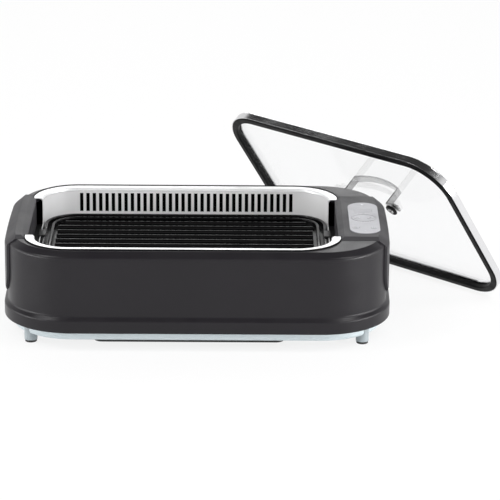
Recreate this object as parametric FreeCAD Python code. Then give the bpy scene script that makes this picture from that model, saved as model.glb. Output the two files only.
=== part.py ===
import FreeCAD, Part
import math
import os
from FreeCAD import Placement, Rotation, Vector

# Countertop electric grill with an extractor fan and a loose glass lid that leans behind it.
# Millimetres, +Z up, +X towards the keypad end, +Y towards the slotted rear wall.
# The origin is on the table, under the centre of the shell.

# Shell
shell_half_length = 257.3
shell_half_depth = 162.4
shell_corner_radius = 90.0
shell_end_radius = 3000.0
shell_wall = 2.6
skirt_reach = 5.1
skirt_bottom_z = 26.0
skirt_face_height = 17.0
skirt_slope_height = 5.0
crease_z = 130.0
rim_z = 136.9
rim_inset = 10.4
crease_round = 5.0
skirt_round = 2.5
skirt_root_round = 3.0
skirt_foot_round = 1.5
rim_round = 1.2
bezel_drop = 4.0
part_gap = 0.15
overrun = 30.0
hairline = 0.0001
level_tolerance = 0.001

# Shell bosses for the pan screws
boss_radius = 5.0
boss_height = 13.0
boss_end_inset = 137.3

# Liner
lip_left_margin = 25.6
lip_right_margin = 63.6
lip_side_margin = 15.4
lip_radius = 60.5
lip_width = 9.0
lip_proud = 0.5
liner_sheet = 1.0
liner_bend = 4.0
liner_depth = 44.4
liner_band_height = 7.0
liner_end_half_depth = 84.0
slot_count = 34
slot_width_share = 8 / 15
slot_end_room = 1.3
slot_height = 27.0
slot_drop = 7.4

# Gasket and the ledge that carries it
gasket_width = 1.6
gasket_reach = 6.0
gasket_thick = 1.8
ledge_thick = 2.7
ledge_reach = 7.5

# Inner chamber
chamber_wall = 1.6
chamber_floor_z = 56.0
chamber_overlap = 6.0
chamber_leg_radius = 6.0
chamber_leg_end_inset = 49.7
chamber_leg_side_inset = 29.0

# End covers
cover_rise = 3.1
cover_reach = 3.5
cover_shoulder_drop = 2.0
cover_top_half_depth = 92.0
cover_half_depth = 101.0
cover_bottom_z = 56.0
cover_taper_height = 9.0
cover_corner_radius = 34.0
cover_lip_overlap = 3.7
cover_bevel_run = 8.0
cover_bevel_drop = 4.0
cover_apron = 2.0
cover_shoulder_round = 4.0
cover_top_round = 1.5

# Finger recesses in the end covers
cup_half_length = 55.0
cup_height = 28.0
cup_centre_z = 105.0
cup_depth = 16.0
cup_wall = 1.6

# Keypad
keypad_end_inset = 30.3
keypad_y = -10.0
keypad_radius = 20.5
keypad_straight = 99.0
keypad_thick = 1.8
keypad_proud = 0.7
keypad_seat = 1.8
ring_radius = 16.0
ring_bead = 0.6
key_radius = 4.6
key_gap = 0.3
key_proud = 0.4
key_flange_reach = 1.2
key_flange_thick = 0.9
key_travel = 0.5
temp_key_spacing = 18.0
lower_key_spacing = 25.0
lower_key_drop = 44.0
window_width = 24.0
window_depth = 13.0
window_radius = 2.0
window_rise_y = 33.0
lens_radius = 2.0
upper_lens_rise = 59.5
lower_lens_drop = 59.0

# Control board under the keypad
board_thick = 1.6
board_drop = 11.0
board_half_width = 18.5
board_half_depth = 66.0
board_post_radius = 2.4
switch_size = 6.0
switch_height = 3.2
switch_button_radius = 1.6
switch_case_share = 0.8
module_height = 4.2
small_screw_radius = 1.2
small_head_radius = 1.9
small_head_height = 1.4

# Bottom pan and its cover plate
pan_inset = 6.9
pan_depth = 13.6
pan_sheet = 1.2
pan_edge_radius = 5.0
pan_flange_inset = 2.9
base_end_margin = 129.3
base_side_margin = 12.4
base_radius = 12.0
base_thick = 3.8
base_lip = 1.6
grille_slot_count = 11
grille_slot_pitch = 9.0
grille_slot_width = 4.6

# Feet
foot_radius = 8.75
foot_end_inset = 34.3
foot_side_inset = 39.4
foot_pad_height = 3.4
foot_pad_radius = 8.0
foot_stud_radius = 2.5
foot_stud_height = 2.0

# Fan
fan_board_gap = 28.0
fan_y = 20.0
scroll_radius = 80.0
scroll_height = 34.0
scroll_wall = 1.6
fan_inlet_radius = 42.0
inlet_ring_width = 4.0
inlet_ring_height = 2.0
exhaust_radius = 60.0
impeller_radius = 64.0
impeller_plate = 1.6
impeller_height = 11.0
impeller_hub_radius = 12.0
blade_count = 24
blade_inner_radius = 44.0
blade_thick = 1.2
blade_lean = 25.0
motor_radius = 22.0
motor_height = 14.0
shaft_radius = 2.5
shaft_play = 0.05
shaft_end = 0.6
nut_radius = 5.0
nut_height = 4.0
bracket_arm_width = 12.0
bracket_thick = 1.6
bracket_foot = 9.0
fan_gap = 1.2

# Drip tray
tray_gap = 4.0
tray_end_room = 40.0
tray_height = 27.6
tray_sheet = 1.2
tray_flange = 6.0
tray_corner = 40.0
tray_pad_height = 0.8
seat_gap = 0.2

# Grill plate
plate_gap = 1.5
plate_thick = 5.0
plate_rim_height = 14.0
plate_rim_width = 5.0
plate_rib_inset = 10.0
plate_rib_width = 4.6
plate_rib_height = 12.6
plate_round = 1.9
ridge_count = 11
ridge_side_gap = 10.9
ridge_width = 9.0
ridge_height = 7.2
ridge_crown_share = 0.8
ridge_end_gap = 5.0
drain_length = 46.0
drain_width = 5.0
tab_reach = 4.4
tab_half_width = 13.0
tab_y = 38.0
tab_thick = 2.2
tab_overlap = 2.5
tab_pin_radius = 1.6

# Heating element
element_radius = 3.4
element_runs = 6
element_end_inset = 80.2
element_side_inset = 42.5
element_notch = 1.0
clip_width = 8.0
clip_thick = 1.0
terminal_half_length = 12.0
terminal_half_width = 22.0
terminal_height = 7.0
terminal_inset = 24.0
pin_radius = 2.0
pin_length = 11.0
pin_spacing = 24.0
socket_wall = 5.0
socket_gap = 0.5

# Smoke duct
duct_sheet = 1.2
duct_side_margin = 5.0
duct_rear_gap = 6.0
duct_bottom_z = 41.0
duct_top_drop = 5.0

# Power board in the base
power_end_inset = 117.3
power_y = -30.0
power_half_length = 42.0
power_half_width = 36.0
power_post_height = 6.0
relay_size = 20.0
relay_height = 15.0
relay_depth_share = 0.7
capacitor_radius = 8.0
capacitor_height = 20.0

# Cord gland and thermal cutout
gland_end_inset = 107.3
gland_z = 62.0
gland_radius = 7.0
gland_flange_radius = 10.0
gland_flange_thick = 2.5
gland_length = 16.0
cutout_width = 16.0
cutout_height = 8.0
cutout_end_inset = 108.7

# Lid
lid_end_inset = 3.7
lid_side_inset = 8.0
lid_radius = 62.0
lid_yaw = -45.0
lid_lean = 36.0
lid_along_share = -0.3493
lid_depth = 12.8
glass_inset = 3.0
glass_thick = 4.0
glass_height = 7.0
seal_inset = 1.4
seal_width = 9.6
seal_round = 2.0
band_start = 1.6
band_sheet = 1.2
band_width = 10.0
band_round = 1.6
handle_span = 85.0
handle_rise = 30.0
handle_bow = 8.0
handle_strap = 2.4
handle_width = 11.0
handle_foot = 20.0
washer_radius = 9.2
washer_thick = 1.6
lid_screw_radius = 2.0
lid_screw_head_radius = 5.0
lid_screw_head_height = 1.8

# Sizes that follow from those above
liner_x = (lip_left_margin - lip_right_margin) / 2
lip_half_length = shell_half_length - (lip_left_margin + lip_right_margin) / 2
lip_half_depth = shell_half_depth - lip_side_margin
cover_inner_reach = lip_half_length - cover_lip_overlap
boss_side_x = shell_half_length - boss_end_inset
keypad_x = shell_half_length - keypad_end_inset
power_x = shell_half_length - power_end_inset
gland_x = shell_half_length - gland_end_inset
fan_x = power_x - power_half_length - fan_board_gap - scroll_radius
base_x = fan_x
base_half_length = shell_half_length - base_end_margin
base_half_depth = shell_half_depth - base_side_margin
foot_x = shell_half_length - foot_end_inset
foot_y = shell_half_depth - foot_side_inset
lid_length = 2 * (lip_half_length - lid_end_inset)
lid_width = 2 * (lip_half_depth - lid_side_inset)
lid_along = lid_length * lid_along_share
skirt_face_top_z = skirt_bottom_z + skirt_face_height
skirt_top_z = skirt_face_top_z + skirt_slope_height
bezel_seat_z = crease_z - bezel_drop
lip_top_z = rim_z + lip_proud
liner_half_length = lip_half_length - lip_width - liner_bend
liner_half_depth = lip_half_depth - lip_width - liner_bend
liner_radius = lip_radius - lip_width - liner_bend
slot_field = 2 * (liner_half_length - liner_radius - slot_end_room)
slot_pitch = slot_field / (slot_count - 1 + slot_width_share)
slot_width = slot_pitch * slot_width_share
chamber_leg_x = liner_half_length - chamber_leg_end_inset
chamber_leg_y = liner_half_depth - chamber_leg_side_inset
cutout_x = liner_x - liner_half_length + cutout_end_inset
liner_bottom_z = lip_top_z - liner_depth
liner_band_z = liner_bottom_z + liner_band_height
slot_top_z = lip_top_z - slot_drop
slot_bottom_z = slot_top_z - slot_height
liner_wall_top_z = lip_top_z - liner_sheet - liner_bend
screen_half_length = liner_half_length - liner_radius
ledge_top_z = lip_top_z - liner_sheet - gasket_thick
chamber_top_z = liner_bottom_z + chamber_overlap
chamber_side = liner_sheet + part_gap
cover_top_z = rim_z + cover_rise
cover_shoulder_z = crease_z - cover_shoulder_drop
cup_radius = cup_height / 2
keypad_top_z = cover_top_z + keypad_proud
keypad_bottom_z = keypad_top_z - keypad_thick
board_top_z = cover_top_z - board_drop
board_bottom_z = board_top_z - board_thick
pan_bottom_z = skirt_bottom_z - pan_depth
pan_floor_z = pan_bottom_z + pan_sheet
base_bottom_z = pan_bottom_z - base_thick
tray_bottom_z = chamber_floor_z + chamber_wall + seat_gap + tray_pad_height
tray_top_z = tray_bottom_z + tray_height
plate_bottom_z = tray_top_z + seat_gap
plate_floor_z = plate_bottom_z + plate_thick
plate_rim_z = plate_bottom_z + plate_rim_height
plate_half_length = liner_half_length - plate_gap
plate_half_depth = liner_half_depth - plate_gap
plate_radius = liner_radius - plate_gap
ridge_field_inset = plate_rib_inset + plate_rib_width + ridge_end_gap
ridge_pitch = 2 * (plate_half_depth - ridge_field_inset - ridge_side_gap) / (ridge_count - 1)
element_span = plate_half_length - element_end_inset
element_pitch = 2 * (plate_half_depth - element_side_inset) / (element_runs - 1)
scroll_top_z = pan_floor_z + scroll_height
motor_bottom_z = pan_floor_z + bracket_thick
motor_top_z = motor_bottom_z + motor_height
impeller_z = motor_top_z + fan_gap
power_z = pan_floor_z + power_post_height
end_centre_x = shell_half_length - shell_end_radius
corner_x = end_centre_x + math.sqrt(
    (shell_end_radius - shell_corner_radius) ** 2 - (shell_half_depth - shell_corner_radius) ** 2
)
corner_y = shell_half_depth - shell_corner_radius
corner_turn = math.degrees(math.atan2(corner_y, corner_x - end_centre_x))
UP = Vector(0, 0, 1)


# Helpers


def arc_edge(x, y, z, radius, start, end):
    """Arc in a level plane, angles in degrees."""
    circle = Part.Circle(Vector(x, y, z), UP, radius)
    return Part.Arc(circle, math.radians(start), math.radians(end)).toShape()


def line_edge(x0, y0, x1, y1, z):
    return Part.makeLine(Vector(x0, y0, z), Vector(x1, y1, z))


def shell_wire(offset, z):
    """Plan outline of the shell, moved out by an offset: straight front and rear, bowed ends."""
    big, small = shell_end_radius + offset, shell_corner_radius + offset
    side = shell_half_depth + offset
    turn = corner_turn
    edges = [
        line_edge(-corner_x, -side, corner_x, -side, z),
        arc_edge(corner_x, -corner_y, z, small, 270, 360 - turn),
        arc_edge(end_centre_x, 0, z, big, -turn, turn),
        arc_edge(corner_x, corner_y, z, small, turn, 90),
        line_edge(corner_x, side, -corner_x, side, z),
        arc_edge(-corner_x, corner_y, z, small, 90, 180 - turn),
        arc_edge(-end_centre_x, 0, z, big, 180 - turn, 180 + turn),
        arc_edge(-corner_x, -corner_y, z, small, 180 + turn, 270),
    ]
    return Part.Wire(edges)


def round_wire(half_x, half_y, radius, z, x=0.0, y=0.0):
    """Rounded rectangle in a level plane."""
    ix, iy = half_x - radius, half_y - radius
    edges = [
        line_edge(x - ix, y - half_y, x + ix, y - half_y, z),
        arc_edge(x + ix, y - iy, z, radius, 270, 360),
        line_edge(x + half_x, y - iy, x + half_x, y + iy, z),
        arc_edge(x + ix, y + iy, z, radius, 0, 90),
        line_edge(x + ix, y + half_y, x - ix, y + half_y, z),
        arc_edge(x - ix, y + iy, z, radius, 90, 180),
        line_edge(x - half_x, y + iy, x - half_x, y - iy, z),
        arc_edge(x - ix, y - iy, z, radius, 180, 270),
    ]
    return Part.Wire([edge for edge in edges if edge.Length > hairline / 100])


def rise(wire, height):
    """Solid that stands on a level wire."""
    return Part.Face(wire).extrude(Vector(0, 0, height))


def shell_tier(offset_low, z_low, offset_high, z_high):
    """Solid between two shell outlines."""
    if offset_low == offset_high:
        return rise(shell_wire(offset_low, z_low), z_high - z_low)
    wires = [shell_wire(offset_low, z_low), shell_wire(offset_high, z_high)]
    return Part.makeLoft(wires, True, True)


def slab(half_x, half_y, radius, z_low, z_high, x=0.0, y=0.0):
    return rise(round_wire(half_x, half_y, radius, z_low, x, y), z_high - z_low)


def liner_slab(offset, z_low, z_high):
    """Slab in the liner's plan, moved out by an offset from its inner wall."""
    return slab(
        liner_half_length + offset, liner_half_depth + offset, liner_radius + offset, z_low, z_high, liner_x
    )


def box(x0, x1, y0, y1, z0, z1):
    return Part.makeBox(x1 - x0, y1 - y0, z1 - z0, Vector(x0, y0, z0))


def post(x, y, radius, z_low, z_high):
    return Part.makeCylinder(radius, z_high - z_low, Vector(x, y, z_low), UP)


def join(shapes):
    """One solid out of overlapping ones."""
    shapes = list(shapes)
    if len(shapes) == 1:
        return shapes[0]
    return shapes[0].fuse(shapes[1:]).removeSplitter()


def group(shapes):
    """Separate solids that share a node."""
    solids = []
    for shape in shapes:
        solids.extend(shape.Solids)
    return Part.makeCompound(solids)


def edges_at(shape, z):
    """Edges that lie level at a height."""
    found = []
    for edge in shape.Edges:
        bounds = edge.BoundBox
        if abs(bounds.ZMin - z) < level_tolerance and abs(bounds.ZMax - z) < level_tolerance:
            found.append(edge)
    return found


def screw(x, y, head_z, tip_z, radius, head_radius, head_height):
    """Pan-head screw: its head sits below head_z when the tip is above it, else on top."""
    direction = 1 if tip_z > head_z else -1
    head_low = head_z - head_height if direction > 0 else head_z
    head = post(x, y, head_radius, head_low, head_low + head_height)
    shank = post(x, y, radius, min(head_z, tip_z), max(head_z, tip_z))
    return join([head, shank])


def keypad_place(dx, dy):
    return keypad_x + dx, keypad_y + dy


def save(name, shape):
    shape.exportStep(os.path.join("parts", name + ".step"))


# Shell


def rounded(shape, rounds):
    """Shape with each level edge line rounded, given as height and radius."""
    for z, radius in rounds:
        shape = shape.makeFillet(radius, edges_at(shape, z))
    return shape


def shell_envelope():
    """The shell's outside as one filled solid."""
    sharp = join(
        [
            shell_tier(skirt_reach, skirt_bottom_z, skirt_reach, skirt_face_top_z),
            shell_tier(skirt_reach, skirt_face_top_z, 0, skirt_top_z),
            shell_tier(0, skirt_top_z, 0, crease_z),
            shell_tier(0, crease_z, -rim_inset, rim_z),
        ]
    )
    return rounded(
        sharp,
        [
            (crease_z, crease_round), (skirt_face_top_z, skirt_round), (skirt_top_z, skirt_root_round),
            (rim_z, rim_round), (skirt_bottom_z, skirt_foot_round),
        ],
    )


def shell_cavity():
    inner_crease_z = crease_z - shell_wall / 2
    low = shell_tier(-shell_wall, skirt_bottom_z - overrun, -shell_wall, inner_crease_z)
    high = shell_tier(-shell_wall, inner_crease_z, -rim_inset - shell_wall / 2, rim_z - shell_wall)
    return join([low, high])


def boss_places():
    """Pan screw bosses: two on each long side and one at each end."""
    inset = (pan_inset + pan_flange_inset) / 2
    side, end = shell_half_depth - inset, shell_half_length - inset
    long_sides = [(sx * boss_side_x, sy * side) for sx in (-1, 1) for sy in (-1, 1)]
    return long_sides + [(-end, 0), (end, 0)]


def cover_screw_places(side):
    """Two screws under each end cover, clear of the liner's opening."""
    inner = liner_x + side * (lip_half_length + gasket_width)
    x = inner + side * (small_head_radius + gasket_width + part_gap * 2)
    y = liner_end_half_depth + small_head_radius
    return [(x, -y), (x, y)]


def keypad_window(z_low, z_high):
    """Space under the keypad for the board and its posts."""
    half_y = board_half_depth + key_gap * 4
    half_x = board_half_width + key_gap * 4
    return slab(half_x, half_y, window_radius, z_low, z_high, keypad_x, keypad_y)


def cup_prism(side, reach, x_from, x_to):
    """Pill outline of a finger recess, seen from the end, grown by reach."""
    radius = cup_radius + reach
    half = cup_half_length - cup_radius
    low, high = cup_centre_z - radius, cup_centre_z + radius
    corners = [Vector(x_from, -half, low), Vector(x_from, half, low)]
    corners += [Vector(x_from, half, high), Vector(x_from, -half, high)]
    right = Part.Arc(corners[1], Vector(x_from, half + radius, cup_centre_z), corners[2]).toShape()
    left = Part.Arc(corners[3], Vector(x_from, -half - radius, cup_centre_z), corners[0]).toShape()
    wire = Part.Wire(
        [Part.makeLine(corners[0], corners[1]), right, Part.makeLine(corners[2], corners[3]), left]
    )
    return Part.Face(wire).extrude(Vector(x_to - x_from, 0, 0))


def cup_back_x():
    return shell_half_length + cover_reach - cup_depth


def cup_opening(side, reach):
    return cup_prism(side, reach, side * (cup_back_x() - reach), side * (shell_half_length + overrun))


def whole_shell():
    """The outer housing and its bezel as one, before they are parted under the crease."""
    shell = shell_envelope().cut(shell_cavity())
    ledge_outer = slab(
        lip_half_length + ledge_reach, lip_half_depth + ledge_reach, lip_radius + ledge_reach,
        ledge_top_z - ledge_thick, rim_z - shell_wall / 2, liner_x,
    )
    shell = shell.fuse(ledge_outer.common(shell_envelope()))
    through = slab(
        lip_half_length - ledge_reach, lip_half_depth - ledge_reach, lip_radius - ledge_reach,
        crease_z - overrun, rim_z + overrun, liner_x,
    )
    recess = slab(
        lip_half_length + gasket_width, lip_half_depth + gasket_width, lip_radius + gasket_width,
        ledge_top_z, rim_z + overrun, liner_x,
    )
    end_notch = box(
        liner_x - lip_half_length - gasket_width, liner_x + lip_half_length + gasket_width,
        -liner_end_half_depth - part_gap, liner_end_half_depth + part_gap,
        ledge_top_z - overrun, rim_z,
    )
    bosses = [
        post(x, y, boss_radius, skirt_bottom_z + pan_sheet, skirt_bottom_z + boss_height)
        for x, y in boss_places()
    ]
    shell = join([shell] + bosses)
    cuts = [through, recess, end_notch, keypad_window(ledge_top_z - overrun, rim_z + overrun)]
    for x, y in boss_places():
        pilot_top = skirt_bottom_z + boss_height / 2
        cuts.append(post(x, y, small_screw_radius + part_gap, skirt_bottom_z, pilot_top))
    for side in (-1, 1):
        cuts.append(cup_opening(side, part_gap))
        for x, y in cover_screw_places(side):
            low = ledge_top_z - overrun / 10
            cuts.append(post(x, y, small_screw_radius + part_gap, low, rim_z + overrun))
    start = Vector(gland_x, shell_half_depth - overrun / 2, gland_z)
    cuts.append(Part.makeCylinder(gland_radius + part_gap, overrun, start, Vector(0, 1, 0)))
    return shell.cut(cuts)


def bezel_room():
    """Everything above the line where the bezel sits on the housing."""
    reach, side = shell_half_length + overrun, shell_half_depth + overrun
    return box(-reach, reach, -side, side, bezel_seat_z, rim_z + overrun)


def outer_housing():
    return whole_shell().cut(bezel_room())


def housing_bezel():
    """Sloped top edge, flat rim and the ledge for the gasket."""
    return whole_shell().common(bezel_room())


# Liner, gasket and chamber


def whole_liner():
    """The liner's wall, slotted screen and rolled lip as one, before they are parted."""
    lip = slab(lip_half_length, lip_half_depth, lip_radius, liner_bottom_z, lip_top_z, liner_x)
    well = liner_slab(0, liner_bottom_z - overrun, lip_top_z)
    body = lip.cut(well)
    mouth = [edge for edge in edges_at(body, lip_top_z) if inner_edge(edge)]
    body = body.makeFillet(liner_bend, mouth)
    under = slab(
        lip_half_length + overrun, lip_half_depth + overrun, lip_radius + overrun,
        liner_bottom_z - overrun, lip_top_z - liner_sheet, liner_x,
    )
    under = under.cut(liner_slab(liner_sheet, liner_bottom_z - 2 * overrun, lip_top_z))
    crown = [edge for edge in edges_at(under, lip_top_z - liner_sheet) if inner_edge(edge)]
    under = under.makeFillet(liner_bend + liner_sheet, crown)
    body = body.cut(under)
    cuts = []
    first = liner_x - slot_pitch * (slot_count - 1) / 2
    for index in range(slot_count):
        x = first + index * slot_pitch
        cuts.append(
            box(
                x - slot_width / 2, x + slot_width / 2, liner_half_depth - liner_bend,
                liner_half_depth + liner_bend, slot_bottom_z, slot_top_z,
            )
        )
    for side in (-1, 1):
        near, out = liner_half_length - liner_bend, lip_half_length + overrun
        ends = sorted([liner_x + side * near, liner_x + side * out])
        cuts.append(
            box(
                ends[0], ends[1], -liner_end_half_depth, liner_end_half_depth,
                liner_band_z, lip_top_z + overrun,
            )
        )
    return body.cut(cuts)


def above_liner_wall():
    """Everything above the liner's upright wall, where its lip begins to bend."""
    reach, side = lip_half_length + overrun, lip_half_depth + overrun
    return box(
        liner_x - reach, liner_x + reach, -side, side, liner_wall_top_z, lip_top_z + overrun
    )


def screen_room():
    """Flat part of the rear wall, between its corners."""
    return box(
        liner_x - screen_half_length, liner_x + screen_half_length,
        liner_half_depth - liner_bend, liner_half_depth + liner_bend,
        liner_bottom_z - overrun, liner_wall_top_z,
    )


def heat_liner():
    """Front wall, corners and end bands."""
    return whole_liner().cut([above_liner_wall(), screen_room()])


def slot_screen():
    """Flat rear wall with the upright smoke slots."""
    return whole_liner().common(screen_room())


def rim_trim():
    """Bright rolled lip, one length along the front and one along the rear."""
    return group([whole_liner().common(above_liner_wall())])


def inner_edge(edge):
    """True for an edge of the well's mouth, not of the slab round it."""
    bounds = edge.BoundBox
    margin = lip_width / 2
    return (
        bounds.XMax < liner_x + liner_half_length + margin
        and bounds.XMin > liner_x - liner_half_length - margin
        and bounds.YMax < liner_half_depth + margin
        and bounds.YMin > -liner_half_depth - margin
    )


def rim_gasket():
    outer = gasket_width - part_gap
    ring = slab(
        lip_half_length + outer, lip_half_depth + outer, lip_radius + outer,
        ledge_top_z, rim_z - part_gap, liner_x,
    )
    under_lip = slab(
        lip_half_length + part_gap, lip_half_depth + part_gap, lip_radius + part_gap,
        lip_top_z - liner_sheet, rim_z + overrun, liner_x,
    )
    hole = slab(
        lip_half_length - gasket_reach, lip_half_depth - gasket_reach, lip_radius - gasket_reach,
        ledge_top_z - overrun, rim_z + overrun, liner_x,
    )
    ends = box(
        liner_x - lip_half_length - overrun, liner_x + lip_half_length + overrun,
        -liner_end_half_depth - part_gap, liner_end_half_depth + part_gap,
        ledge_top_z - overrun, rim_z + overrun,
    )
    return group([ring.cut([under_lip, hole, ends])])


def chamber_leg_places():
    return [(liner_x + sx * chamber_leg_x, sy * chamber_leg_y) for sx in (-1, 1) for sy in (-1, 1)]


def inner_chamber():
    outside = liner_slab(chamber_side + chamber_wall, chamber_floor_z, chamber_top_z)
    inside = liner_slab(chamber_side, chamber_floor_z + chamber_wall, chamber_top_z + overrun)
    shelf_reach = cover_inner_reach - part_gap
    shelf = box(
        liner_x - shelf_reach, liner_x + shelf_reach,
        -liner_end_half_depth + part_gap, liner_end_half_depth - part_gap,
        chamber_top_z - chamber_wall, chamber_top_z,
    )
    legs = [
        post(x, y, chamber_leg_radius, pan_floor_z, chamber_floor_z + chamber_wall / 2)
        for x, y in chamber_leg_places()
    ]
    tub = join([outside, shelf] + legs)
    return tub.cut(inside)


# End covers


def cover_profile(x_from, x_to):
    """End panel seen from the end: sloped shoulders above, rounded corners below."""
    low, high = cover_bottom_z, cover_top_z
    radius = cover_corner_radius
    half, top_half = cover_half_depth, cover_top_half_depth
    bend = radius * (1 - math.sqrt(0.5))
    points = [Vector(x_from, -half, low + radius), Vector(x_from, -half, rim_z)]
    points += [Vector(x_from, -top_half, high), Vector(x_from, top_half, high)]
    points += [Vector(x_from, half, rim_z), Vector(x_from, half, low + radius)]
    points += [Vector(x_from, half - radius, low), Vector(x_from, -half + radius, low)]
    right = Part.Arc(points[5], Vector(x_from, half - bend, low + bend), points[6]).toShape()
    left = Part.Arc(points[7], Vector(x_from, -half + bend, low + bend), points[0]).toShape()
    edges = [Part.makeLine(points[i], points[i + 1]) for i in range(5)]
    edges += [right, Part.makeLine(points[6], points[7]), left]
    return Part.Face(Part.Wire(edges)).extrude(Vector(x_to - x_from, 0, 0))


def cover_envelope():
    """Outside of both end covers, before the shell is taken away."""
    sharp = join(
        [
            shell_tier(cover_reach / 4, cover_bottom_z, cover_reach, cover_bottom_z + cover_taper_height),
            shell_tier(cover_reach, cover_bottom_z + cover_taper_height, cover_reach, cover_shoulder_z),
            shell_tier(cover_reach, cover_shoulder_z, -rim_inset, cover_top_z),
        ]
    )
    return rounded(sharp, [(cover_shoulder_z, cover_shoulder_round), (cover_top_z, cover_top_round)])


def shell_clearance():
    """The shell's outside, a little proud, for pieces that fit over it."""
    return join(
        [
            shell_tier(part_gap, skirt_top_z - overrun, part_gap, crease_z),
            shell_tier(part_gap, crease_z, part_gap - rim_inset, rim_z),
        ]
    )


def end_cover(side):
    inner_x = liner_x + side * cover_inner_reach
    outer_x = side * (shell_half_length + overrun)
    body = cover_envelope().common(cover_profile(inner_x, outer_x))
    body = body.cut(shell_clearance())
    apron_x = sorted([inner_x, inner_x + side * cover_apron])
    apron = box(
        apron_x[0], apron_x[1], -liner_end_half_depth + part_gap, liner_end_half_depth - part_gap,
        chamber_top_z - chamber_wall, cover_top_z - cover_bevel_drop / 2,
    )
    body = join([body, apron])
    wedge_points = [
        Vector(inner_x - side * overrun, -shell_half_depth, cover_top_z - cover_bevel_drop),
        Vector(inner_x, -shell_half_depth, cover_top_z - cover_bevel_drop),
        Vector(inner_x + side * cover_bevel_run, -shell_half_depth, cover_top_z),
        Vector(inner_x + side * cover_bevel_run, -shell_half_depth, cover_top_z + overrun),
        Vector(inner_x - side * overrun, -shell_half_depth, cover_top_z + overrun),
    ]
    wedge = Part.Face(Part.makePolygon(wedge_points + wedge_points[:1])).extrude(
        Vector(0, 2 * shell_half_depth, 0)
    )
    lip_room = slab(
        lip_half_length + part_gap, lip_half_depth + part_gap, lip_radius + part_gap,
        rim_z - overrun / 10, lip_top_z + part_gap, liner_x,
    ).cut(
        box(
            liner_x - lip_half_length - overrun, liner_x + lip_half_length + overrun,
            -liner_end_half_depth, liner_end_half_depth, rim_z - overrun, lip_top_z + overrun,
        )
    )
    cuts = [wedge, lip_room, cup_opening(side, part_gap)]
    top = cover_top_z - cover_rise / 3
    for x, y in cover_screw_places(side):
        cuts.append(post(x, y, small_screw_radius + part_gap / 2, rim_z - overrun, top))
    return body.cut(cuts)


def control_cover():
    """The right end cover also carries the keypad and the board's posts."""
    body = end_cover(1)
    pocket = keypad_slab(part_gap, keypad_bottom_z, cover_top_z + overrun)
    opening = keypad_slab(-keypad_seat, cover_top_z - overrun, cover_top_z + overrun)
    body = body.cut([pocket, opening])
    posts = []
    for x, y in board_post_places():
        posts.append(post(x, y, board_post_radius, board_top_z, keypad_bottom_z))
    body = join([body] + posts)
    pilots = [
        post(x, y, small_screw_radius + part_gap / 2, board_bottom_z, rim_z) for x, y in board_post_places()
    ]
    return body.cut(pilots)


def handle_cup(side):
    """Pill-shaped bowl behind each finger recess."""
    mouth_x = side * (shell_half_length + overrun)
    back_x = side * cup_back_x()
    outside = cup_prism(side, 0, back_x, mouth_x)
    inside = cup_prism(side, -cup_wall, back_x + side * cup_wall, mouth_x)
    trim = shell_tier(cover_reach, cover_bottom_z, cover_reach, cover_shoulder_z)
    return outside.cut(inside).common(trim)


# Keypad


def keypad_slab(reach, z_low, z_high):
    radius = keypad_radius + reach
    return slab(radius, keypad_straight / 2 + radius, radius - hairline, z_low, z_high, keypad_x, keypad_y)


def key_places():
    """Name and place of each key: two in the ring, two below it."""
    spread, low = temp_key_spacing / 2, lower_key_spacing / 2
    return {
        "temp_down_key": keypad_place(-spread, 0),
        "temp_up_key": keypad_place(spread, 0),
        "power_key": keypad_place(-low, -lower_key_drop),
        "fan_key": keypad_place(low, -lower_key_drop),
    }


def lens_places():
    return [keypad_place(0, upper_lens_rise), keypad_place(0, -lower_lens_drop)]


def window_place():
    return keypad_place(0, window_rise_y)


def keypad_plate():
    plate = keypad_slab(0, keypad_bottom_z, keypad_top_z)
    x, y = keypad_place(0, 0)
    bead = post(x, y, ring_radius + ring_bead, keypad_bottom_z, keypad_top_z + ring_bead / 2)
    bead = bead.cut(post(x, y, ring_radius - ring_bead, keypad_bottom_z - overrun, keypad_top_z + overrun))
    plate = join([plate, bead])
    cuts = [
        post(kx, ky, key_radius + key_gap, keypad_bottom_z - overrun, keypad_top_z + overrun)
        for kx, ky in key_places().values()
    ]
    cuts += [
        post(lx, ly, lens_radius + part_gap, keypad_bottom_z - overrun, keypad_top_z + overrun)
        for lx, ly in lens_places()
    ]
    wx, wy = window_place()
    reach = part_gap
    cuts.append(
        slab(
            window_width / 2 + reach, window_depth / 2 + reach, window_radius + reach,
            keypad_bottom_z - overrun, keypad_top_z + overrun, wx, wy,
        )
    )
    return plate.cut(cuts)


def display_window():
    wx, wy = window_place()
    step = key_flange_reach
    pane = slab(
        window_width / 2, window_depth / 2, window_radius,
        keypad_bottom_z - key_flange_thick / 2, keypad_top_z, wx, wy,
    )
    foot = slab(
        window_width / 2 + step, window_depth / 2 + step, window_radius + step,
        keypad_bottom_z - key_flange_thick, keypad_bottom_z, wx, wy,
    )
    return join([pane, foot])


def status_lenses():
    shapes = []
    for x, y in lens_places():
        stem = post(x, y, lens_radius, keypad_bottom_z - key_flange_thick, keypad_top_z + key_proud / 2)
        low = keypad_bottom_z - key_flange_thick
        foot = post(x, y, lens_radius + key_flange_reach / 2, low, keypad_bottom_z)
        shapes.append(join([stem, foot]))
    return group(shapes)


def key_bottom_z():
    """Stem end, a little above the switch button that it presses."""
    return board_top_z + switch_height + key_travel + seat_gap


def key_cap(x, y):
    top = keypad_top_z + key_proud
    cap = post(x, y, key_radius, keypad_bottom_z - key_gap, top)
    cap = cap.makeFillet(key_proud, edges_at(cap, top))
    flange_top = keypad_bottom_z - seat_gap
    flange = post(x, y, key_radius + key_flange_reach, flange_top - key_flange_thick, flange_top)
    stem = post(x, y, key_radius / 2, key_bottom_z(), flange_top)
    return join([cap, flange, stem])


# Control board


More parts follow.
